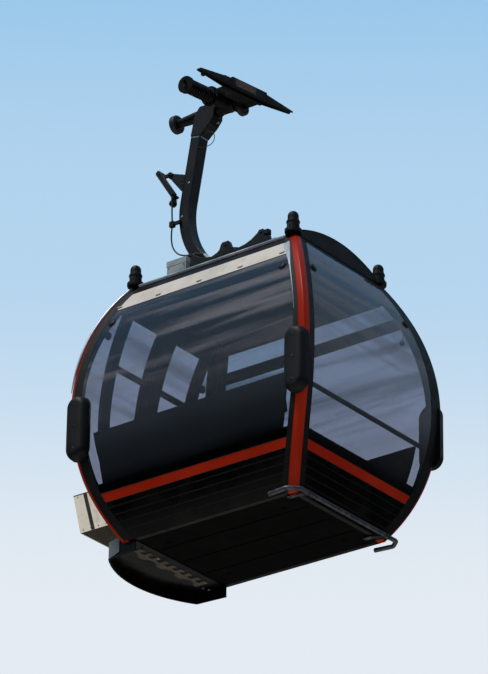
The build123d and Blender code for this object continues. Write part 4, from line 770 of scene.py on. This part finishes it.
# Glazing: curved smoke-tinted acrylic, bonded over the frames; light falls through it for the shadows. Long
# level pale streaks over its upper half are a painted reflection of clouds, strongest on the end panes.
def glazing(name, tint, reflection_share):
    """Tinted clear sheet under streaks of painted reflection: noise drawn out along the wall, faded by
    height.
    """
    tree, place = start_material(name)
    wave = add_node(tree, "ShaderNodeTexNoise", {"Scale": 0.9, "Detail": 1.0}, {"Vector": place})
    bump = add_node(tree, "ShaderNodeBump", {"Strength": 1.0, "Distance": 0.02},
                    {"Height": wave.outputs["Fac"]})
    sheet = add_node(tree, "ShaderNodeBsdfPrincipled",
                     {"Base Color": paint(tint), "Roughness": 0.02, "IOR": 1.49, "Transmission Weight": 1.0,
                      "Specular IOR Level": 0.25},
                     {"Normal": bump.outputs[0]})
    drawn = add_node(tree, "ShaderNodeMapping", {"Scale": (0.45, 0.45, 7.0)}, {"Vector": place})
    reflection_streaks = add_node(tree, "ShaderNodeTexNoise", {"Scale": 1.0, "Detail": 5.0, "Distortion": 0.35},
                       {"Vector": drawn.outputs[0]})
    height = add_node(tree, "ShaderNodeSeparateXYZ", links={"Vector": place}).outputs["Z"]
    fade = {"interpolation_type": "SMOOTHSTEP", "From Min": mid_z - 0.35, "From Max": mid_z + 0.45}
    rising = add_node(tree, "ShaderNodeMapRange", fade, {"Value": height})
    reflection_streak_share = add_node(tree, "ShaderNodeValToRGB", links={"Fac": reflection_streaks.outputs["Fac"]},
                        stops=[(0.44, 0.02), (0.72, reflection_share)])
    share = add_node(tree, "ShaderNodeMath", {"operation": "MULTIPLY"},
                     {0: reflection_streak_share.outputs[0], 1: rising.outputs[0]})
    # Pale matt film mixed over the sheet in long streaks: a painted reflection of clouds.
    painted_reflection = add_node(tree, "ShaderNodeBsdfPrincipled", {"Base Color": paint("#8a868b"), "Roughness": 0.45})
    with_painted_reflection = add_node(tree, "ShaderNodeMixShader", links={0: share.outputs[0], 1: sheet.outputs[0],
                                                         2: painted_reflection.outputs[0]})
    clear = add_node(tree, "ShaderNodeBsdfTransparent", {"Color": paint("#a9b4c4")})
    shadow = add_node(tree, "ShaderNodeLightPath").outputs["Is Shadow Ray"]
    mixed = add_node(tree, "ShaderNodeMixShader", links={0: shadow, 1: with_painted_reflection.outputs[0], 2: clear.outputs[0]})
    add_node(tree, "ShaderNodeOutputMaterial", links={"Surface": mixed.outputs[0]})
    return bpy.data.materials[name]


end_acrylic = glazing("smoked_acrylic_end", "#bcc2cd", 0.40)
side_acrylic = glazing("smoked_acrylic_side", "#c4bfc8", 0.32)
coat(end_acrylic, "glass_end_a", "glass_end_b", "vent_pane")
coat(side_acrylic, "glass_side_a", "glass_door_side", "door_glass_left", "door_glass_right")
dome = [(0, -0.002), (0.035, -0.002), (0.035, 0.004), (0.033, 0.008), (0.026, 0.0125), (0.014, 0.0148),
        (0, 0.0155)]
dome_places = [(left_end, 0.878, 0.750), (tower_side, 0.635, 0.748), (door_side, 0.635, 0.748)]
domes = [turned(dome, on_wall(face, side * along, height), wall_normal(face, height), 28)
         for face, along, height in dome_places for side in (-1, 1)]
button = [(0, -0.002), (0.014, -0.002), (0.014, 0.004), (0.009, 0.008), (0, 0.009)]
domes += [turned(button, on_wall(tower_side, x, 1.098), wall_normal(tower_side, 1.098), 20)
          for x in (-0.500, 0.500)]
piece("glass_fasteners", domes, black_rubber, "cabin")

# Top band over the left end's glass: cream-coated aluminium sheet, dusty and satin, with five slots under
# small pressed hoods.
cream_sheet = finish("cream_coated_sheet", ("#cfcac2", "#dbd6ce"), 300, (0.35, 0.5), 8, 30,
                     grime=("#a9a49b", 0.4, 120))
coat(cream_sheet, "top_sheet")
slot_ys, slot_z, slot_half, hood_half = (0.860, 0.455, 0.031, -0.393, -0.817), 0.912, 0.0225, 0.0265
hoods = [strip(left_end, (y - hood_half, y + hood_half), slot_z + 0.010, 0.010, 0.007) for y in slot_ys]
piece("slot_hoods", hoods, cream_sheet, "cabin")
slots = [strip(left_end, (y - slot_half, y + slot_half), slot_z, 0.010, 0.0012) for y in slot_ys]
piece("band_slots", slots, seal_rubber, "cabin")

# Ski boxes: pale coated aluminium, matt and soiled by boots, with rolled lips, pop rivets, dark rubber edging
# on the ends and over the partition's joint, and a dark diamond mesh over a rubber mat under each floor.
pale_sheet = finish("pale_coated_aluminium", ("#efe5d4", "#fbf3e6"), 180, (0.4, 0.6), 3, 50,
                    stretch=(1, 1, 6), grime=("#b5a98f", 0.35, 70))
coat(pale_sheet, "ski_box_left", "ski_box_right")
mesh_steel = finish("dark_expanded_mesh", ("#4a4336", "#5c5443"), 40, (0.5, 0.7), 3, 100, Metallic=0.3)
dark_edging = finish("dark_rubber_edging", ("#17150f", "#232019"), 60, (0.5, 0.7), 4, 100)
box_low, box_high, box_near, box_far = mid_z - 0.895, mid_z - 0.542, 0.040, 0.500
wall_lip = 1.4958
lip_lines = ((1.3567, box_high), (wall_lip, box_high), (1.4085, box_low + 0.003))
mesh_y, mesh_wide, mesh_deep = 1.030, box_far - box_near - 0.012, 1.400 - 1.030
strand_gap, shortest = 0.034, 0.02
strand = [(-0.003, -0.0015), (0.003, -0.0015), (0.003, 0.0015), (-0.003, 0.0015)]
rivet = [(0, -0.001), (0.006, -0.001), (0.005, 0.002), (0, 0.003)]
for hand, side in hands:
    near, far = side * (box_near + 0.002), side * (box_far - 0.002)
    lips = [bar(0.0048, [(near, y, z), (far, y, z)]) for y, z in lip_lines]
    piece("box_lips_" + hand, lips, pale_sheet, "door_" + hand)
    rivet_places = [(1.150 + 0.075 * i, box_high - 0.022) for i in range(5)]
    rivet_places += [(1.060 + 0.080 * i, box_low + 0.022) for i in range(5)]
    rivets = [turned(rivet, (side * (box_far + 0.0002), y, z), (side, 0, 0), 10) for y, z in rivet_places]
    piece("box_rivets_" + hand, rivets, zinc_fixing, "door_" + hand)
    edging = [bar(0.0052, [(x, 1.140, box_high), (x, wall_lip, box_high)]) for x in (near, far)]
    part_outline = [(1.2560, box_low), (1.2920, box_low), (1.3930, box_high - 0.004),
                    (1.3570, box_high - 0.004)]
    edging.append(prism(part_outline, (side * box_far, 0, 0), ahead, upward, side * 0.0022))
    edging.append(block(*sorted((near, far)), 1.028, 1.402, box_low - 0.0012, box_low + 0.0005))
    piece("box_strip_" + hand, edging, dark_edging, "door_" + hand)
    strands = []
    for lean in (-1, 1):
        for start in np.arange(shortest - mesh_deep, mesh_wide, strand_gap):
            u = np.clip([start, start + mesh_deep], 0.0, mesh_wide)
            v = u - start if lean > 0 else mesh_deep - (u - start)
            if u[1] - u[0] > shortest:
                strands.append(carried(strand, np.column_stack(
                    [side * (box_near + 0.006 + u), mesh_y + v, np.full(2, box_low - 0.0015)])))
    piece("box_mesh_" + hand, strands, mesh_steel, "door_" + hand)

# Tray under the doorway: black sheet with a rolled bottom edge, a grey-blue plate on each end, the comb that
# guides it in the station, its pale metal coloured dark brown as painted shade, and bright fixings
# underneath. The floor pan is undersealed.
# The comb's pale metal gets the dark brown it shows in shade: painted shade.
comb_sheet = finish("dusty_comb_sheet", ("#3d362a", "#564d3f"), 60, (0.6, 0.8), 4, 150, Metallic=0.2)
coat(comb_sheet, "tray_comb")
tray_half, tray_out, tray_side = 0.580, 1.2101, 1.0351
tray_bow = tray_out - tray_side
bow_r = (tray_half**2 + tray_bow**2) / (2 * tray_bow)
tray_x = np.linspace(-tray_half, tray_half, 33)
tray_y = tray_out - bow_r + np.sqrt(bow_r**2 - tray_x**2)
tray_edge = np.vstack([(-0.600, 0.7401), np.column_stack([tray_x, tray_y]), (0.600, 0.7401)])
tray_low, tray_under = mid_z - 1.250, mid_z - 1.1646
edge_path = np.column_stack([tray_edge, np.full(len(tray_edge), tray_low + 0.002)])
tray_trim = [bar(0.006, edge_path), bar(0.005, edge_path[1:-1] + (0, 0, 0.130))]
piece("tray_edge_beads", tray_trim, satin_rib, "cabin")
end_plate_blue = finish("grey_blue_plate", ("#56636a", "#667278"), 120, (0.45, 0.6), 4, 60,
                        grime=("#454c4f", 0.4, 60))
plate_outline = [(0.0, -1.250), (0.0, -1.104), (0.115, -1.082), (0.115, -1.215)]
end_plates = [prism(plate_outline, (sx * 0.5815, 1.033, mid_z), (sx * 0.0676, -0.9977, 0), upward,
                    sx * -0.004) for sx in (-1, 1)]
piece("tray_end_plates", end_plates, end_plate_blue, "cabin", bevel=0.001)
under_fixings = bolts([(0.503, 0.911, tray_under), (0.556, 0.890, tray_under)], downward, 0.020)
under_fixings += bolts([(x, 0.812, tray_under - 0.006) for x in (-0.530, -0.210, 0.110, 0.410)],
                       downward, 0.014)
under_fixings.append(turned([(0, 0), (0.006, 0), (0.006, 0.030), (0.004, 0.034), (0, 0.034)],
                            (-0.453, 0.790, tray_under), downward, 12))
piece("tray_fixings", under_fixings, bright_steel, "cabin")
underseal = finish("black_underseal", ("#020202", "#040404"), 200, (0.7, 0.85), 12, 400,
                   grime=("#060605", 0.5, 180), gloss=0.05)
coat(underseal, "floor_pan")
plug = [(0, -0.002), (0.024, -0.002), (0.024, 0.004), (0.020, 0.007), (0.011, 0.007), (0.009, 0.012),
        (0, 0.012)]
base_z = mid_z - 1.156
plugs = [turned(plug, (x, y, base_z), downward, 20) for x in (-0.400, 0.400) for y in (-0.600, 0.560)]
plugs += [block(x - 0.020, x + 0.020, -0.780, 0.700, base_z - 0.006, base_z + 0.001)
          for x in (-0.300, 0.0, 0.300)]
piece("floor_ribs_and_plugs", plugs, underseal, "cabin", bevel=0.002)

# Guide tube: bent steel tube, hot-dip galvanised to a mottled dull grey, with plugged ends. U-bolts hold it
# to its two brackets.
galvanised = finish("galvanised_steel_tube", ("#3e4043", "#616367"), 35, (0.35, 0.55), 4, 60,
                    grime=("#2c2a26", 0.5, 60), Metallic=0.85)
coat(galvanised, "guide_tube")
tube_y, tube_z = -0.9851, mid_z - 1.190
tube_plug = [(0, -0.006), (0.0185, -0.006), (0.0195, 0.0), (0.018, 0.004), (0.010, 0.007), (0, 0.008)]
plug_ends = [turned(tube_plug, (-0.7444, -0.7201, tube_z), (0.1075, 0.9942, 0), 24),
             turned(tube_plug, (0.6464, -0.7401, tube_z), (-0.1075, 0.9942, 0), 24)]
piece("tube_plugs", plug_ends, seal_rubber, "cabin")
u_bolt, half_gap = 0.0225, 0.022
tube_fixings = []
for bracket_x in (-0.5604, 0.4604):
    bolt_xs = (bracket_x - half_gap, bracket_x + half_gap)
    for bolt_x in bolt_xs:
        loop = circle(20, u_bolt, (bolt_x, tube_y, tube_z), ahead, upward)
        tube_fixings.append(bar(0.0035, loop, up=right, closed=True))
    tube_fixings += bolts([(bolt_x, tube_y + 0.030, tube_z + 0.022) for bolt_x in bolt_xs], upward, 0.012)
    tube_fixings.append(block(bracket_x - 0.034, bracket_x + 0.034, tube_y + 0.012, tube_y + 0.050,
                              tube_z + 0.014, tube_z + 0.022))
    tube_fixings.append(block(*bolt_xs, -0.858, -0.768, base_z - 0.012, base_z - 0.006))
    tube_fixings += bolts([(bracket_x, y, base_z - 0.012) for y in (-0.845, -0.785)], downward, 0.016)
piece("tube_fixings", tube_fixings, galvanised, "cabin", bevel=0.0008)

# Inside: dark ceiling liner in panels, ribbed rubber floor, moulded bench shells, the black handrail on its
# screwed flanges, and the pull knob of the vent beside the right end's window.
floor_rubber = finish("dark_floor_rubber", ("#17181a", "#202123"), 200, (0.6, 0.8), 12, 400,
                      grime=("#2b2823", 0.5, 180), gloss=0.25)
floor_top = mid_z - 1.100
floor_ribs = [block(-0.560, 0.560, y - 0.006, y + 0.006, floor_top - 0.0005, floor_top + 0.0035)
              for y in np.linspace(-0.800, 0.800, 33)]
floor_ribs.append(block(-0.575, 0.575, -0.830, 0.830, floor_top - 0.0012, floor_top + 0.0010))
piece("floor_ribs", floor_ribs, floor_rubber, "cabin")
liner = finish("dark_ceiling_liner", ("#0c0e11", "#121417"), 300, (0.6, 0.8), 6, 120)
liner_panels = [block(x0, x1, y0, y1, mid_z + 1.108, mid_z + 1.121)
                for x0, x1 in ((-0.560, -0.006), (0.006, 0.560))
                for y0, y1 in ((-0.810, -0.276), (-0.266, 0.266), (0.276, 0.810))]
piece("ceiling_liner", liner_panels, liner, "cabin", bevel=0.006)
bench_shell = finish("moulded_dark_shell", ("#050608", "#090a0d"), 260, (0.5, 0.65), 4, 60, gloss=0.2)
coat(bench_shell, "bench_a", "bench_b")
rail_black = finish("black_nylon_rail", ("#0b0c0e", "#131518"), 200, (0.35, 0.5), 3, 40)
coat(rail_black, "grab_rail")
rail_y, rail_height = -1.0648, mid_z - 0.290
rail_cap = [(0, 0), (0.019, 0), (0.0205, 0.002), (0.018, 0.009), (0.010, 0.014), (0, 0.015)]
flange = [(0, 0), (0.030, 0), (0.030, 0.003), (0.027, 0.006), (0.016, 0.008), (0.0125, 0.018), (0, 0.018)]
rail_ends = [turned(rail_cap, (sx * 0.8377, rail_y, rail_height), (sx, 0, 0), 24) for sx in (-1, 1)]
rail_ends += [turned(flange, (sx * 0.8167, -1.1368, rail_height), ahead, 24) for sx in (-1, 1)]
pull_y, pull_r, pull_half = -0.950, 0.022, 0.026
pull_stem = [(0.768, pull_y, mid_z + 0.750), (0.755, pull_y, mid_z + 0.707), (0.742, pull_y, mid_z + 0.665)]
pull_turn = np.linspace(0, np.pi, 11)
pull_profile = np.stack([pull_r * np.sin(pull_turn) * (1 + 0.12 * np.cos(pull_turn)),
                         -pull_half * np.cos(pull_turn)], -1)
rail_ends += [bar(0.0045, pull_stem, up=ahead),
              turned(pull_profile, (0.740, pull_y, mid_z + 0.648), (0.29, 0, 0.957), 20)]
piece("rail_ends_and_vent_pull", rail_ends, rail_black, "cabin")


# Seats: five foam cushions and five back pads on each bench, blown up by their filling between the seams,
# with two stitched channels across each. The dark woven cloth takes the light in and has a faint sheen at its
# edges; its weave is drawn at 3 mm, coarser than the thread, so that it shows.
def stuffed(size):
    """Points and faces of a cover of this size round its middle, bulged by a cloth simulation under pressure.

    Moves are capped, and the cover is brought back to its size.
    """
    cut_share, frames, most_move, channel_deep, channel_half = (0.96, 0.96, 0.80), 20, 0.009, 0.22, 0.007
    cut = bmesh.new()
    bmesh.ops.create_cube(cut, size=1.0)
    bmesh.ops.scale(cut, vec=np.multiply(cut_share, size).tolist(), verts=cut.verts)
    bmesh.ops.bevel(cut, geom=cut.edges[:], offset=0.012, segments=3, affect="EDGES")
    mesh = bpy.data.meshes.new("cover")
    cut.to_mesh(mesh)
    cut.free()
    cover = bpy.data.objects.new("cover", mesh)
    bpy.context.collection.objects.link(cover)
    even = cover.modifiers.new("even mesh", "REMESH")
    even.mode, even.voxel_size = "VOXEL", 0.006
    bpy.context.view_layer.update()
    mesh = bpy.data.meshes.new_from_object(cover.evaluated_get(bpy.context.evaluated_depsgraph_get()))
    cover.modifiers.clear()
    cover.data = mesh
    points = np.array([vertex.co for vertex in mesh.vertices])
    faces = [list(polygon.vertices) for polygon in mesh.polygons]
    filling = cover.modifiers.new("filling", "CLOTH")
    cloth = filling.settings
    cloth.quality, cloth.mass = 5, 0.2
    cloth.tension_stiffness = cloth.compression_stiffness = 12
    cloth.shear_stiffness, cloth.bending_stiffness = 4, 0.4
    cloth.use_pressure, cloth.uniform_pressure_force = True, 4.0
    cloth.effector_weights.gravity = 0.0
    filling.point_cache.frame_start, filling.point_cache.frame_end = 1, frames
    for step in range(1, frames + 1):
        bpy.context.scene.frame_set(step)
    blown = cover.evaluated_get(bpy.context.evaluated_depsgraph_get()).data
    move = np.array([vertex.co for vertex in blown.vertices]) - points
    length = np.linalg.norm(move, axis=1, keepdims=True)
    points = points + move * np.minimum(1.0, most_move / np.maximum(length, 1e-9))
    bpy.context.scene.frame_set(1)
    bpy.data.objects.remove(cover)
    points = (points - (points.max(0) + points.min(0)) / 2) * (np.array(size) / np.ptp(points, axis=0))
    for channel in (-size[0] / 6, size[0] / 6):
        points[:, 2] *= 1 - channel_deep * np.exp(-((points[:, 0] - channel) / channel_half) ** 2)
    return points, faces


seat_cover = finish("woven_seat_cover", ("#08090c", "#0e1014"), 90, (0.75, 0.92), 3, 300, gloss=0.2,
                    **{"Sheen Weight": 0.1})
seat_deep, seat_thick, seat_top = 0.362, 0.050, -0.650
back_tall, back_thick, back_middle = 0.305, 0.030, -0.4075
row_inset, rear_inset, back_inset = 0.042 + 0.110, 0.0423 + 0.010 + 0.018, 0.0566
seat_half = float(barrel_half("side", seat_top)) - row_inset
seat_pitch = 2 * seat_half / 5
seat_width = seat_pitch - 0.016
seat_x = float(barrel_half("end", -0.700)) - rear_inset - seat_deep / 2
seat_z = mid_z + seat_top - seat_thick / 2
seat_points, seat_faces = stuffed((seat_deep, seat_width, seat_thick))
back_points, back_faces = stuffed((back_tall, seat_width, back_thick))
back_height = back_points[:, 0] + back_middle
back_x = barrel_half("end", back_height) - back_inset - back_thick / 2 - back_points[:, 2]
for end, side in (("a", -1), ("b", 1)):
    cushions, backs = [], []
    for seat in range(5):
        seat_y = -seat_half + (seat + 0.5) * seat_pitch
        cushions.append((seat_points * (side, 1, 1) + (side * seat_x, seat_y, seat_z), seat_faces))
        back = np.stack([side * back_x, seat_y + back_points[:, 1], mid_z + back_height], -1)
        backs.append((back, back_faces))
    for kind, shapes, fill in (("seats_", cushions, 0.7), ("seat_backs_", backs, 0.6)):
        pads = piece(kind + end + "_stuffed", shapes, seat_cover, "cabin", crease=70)
        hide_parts(kind + end)
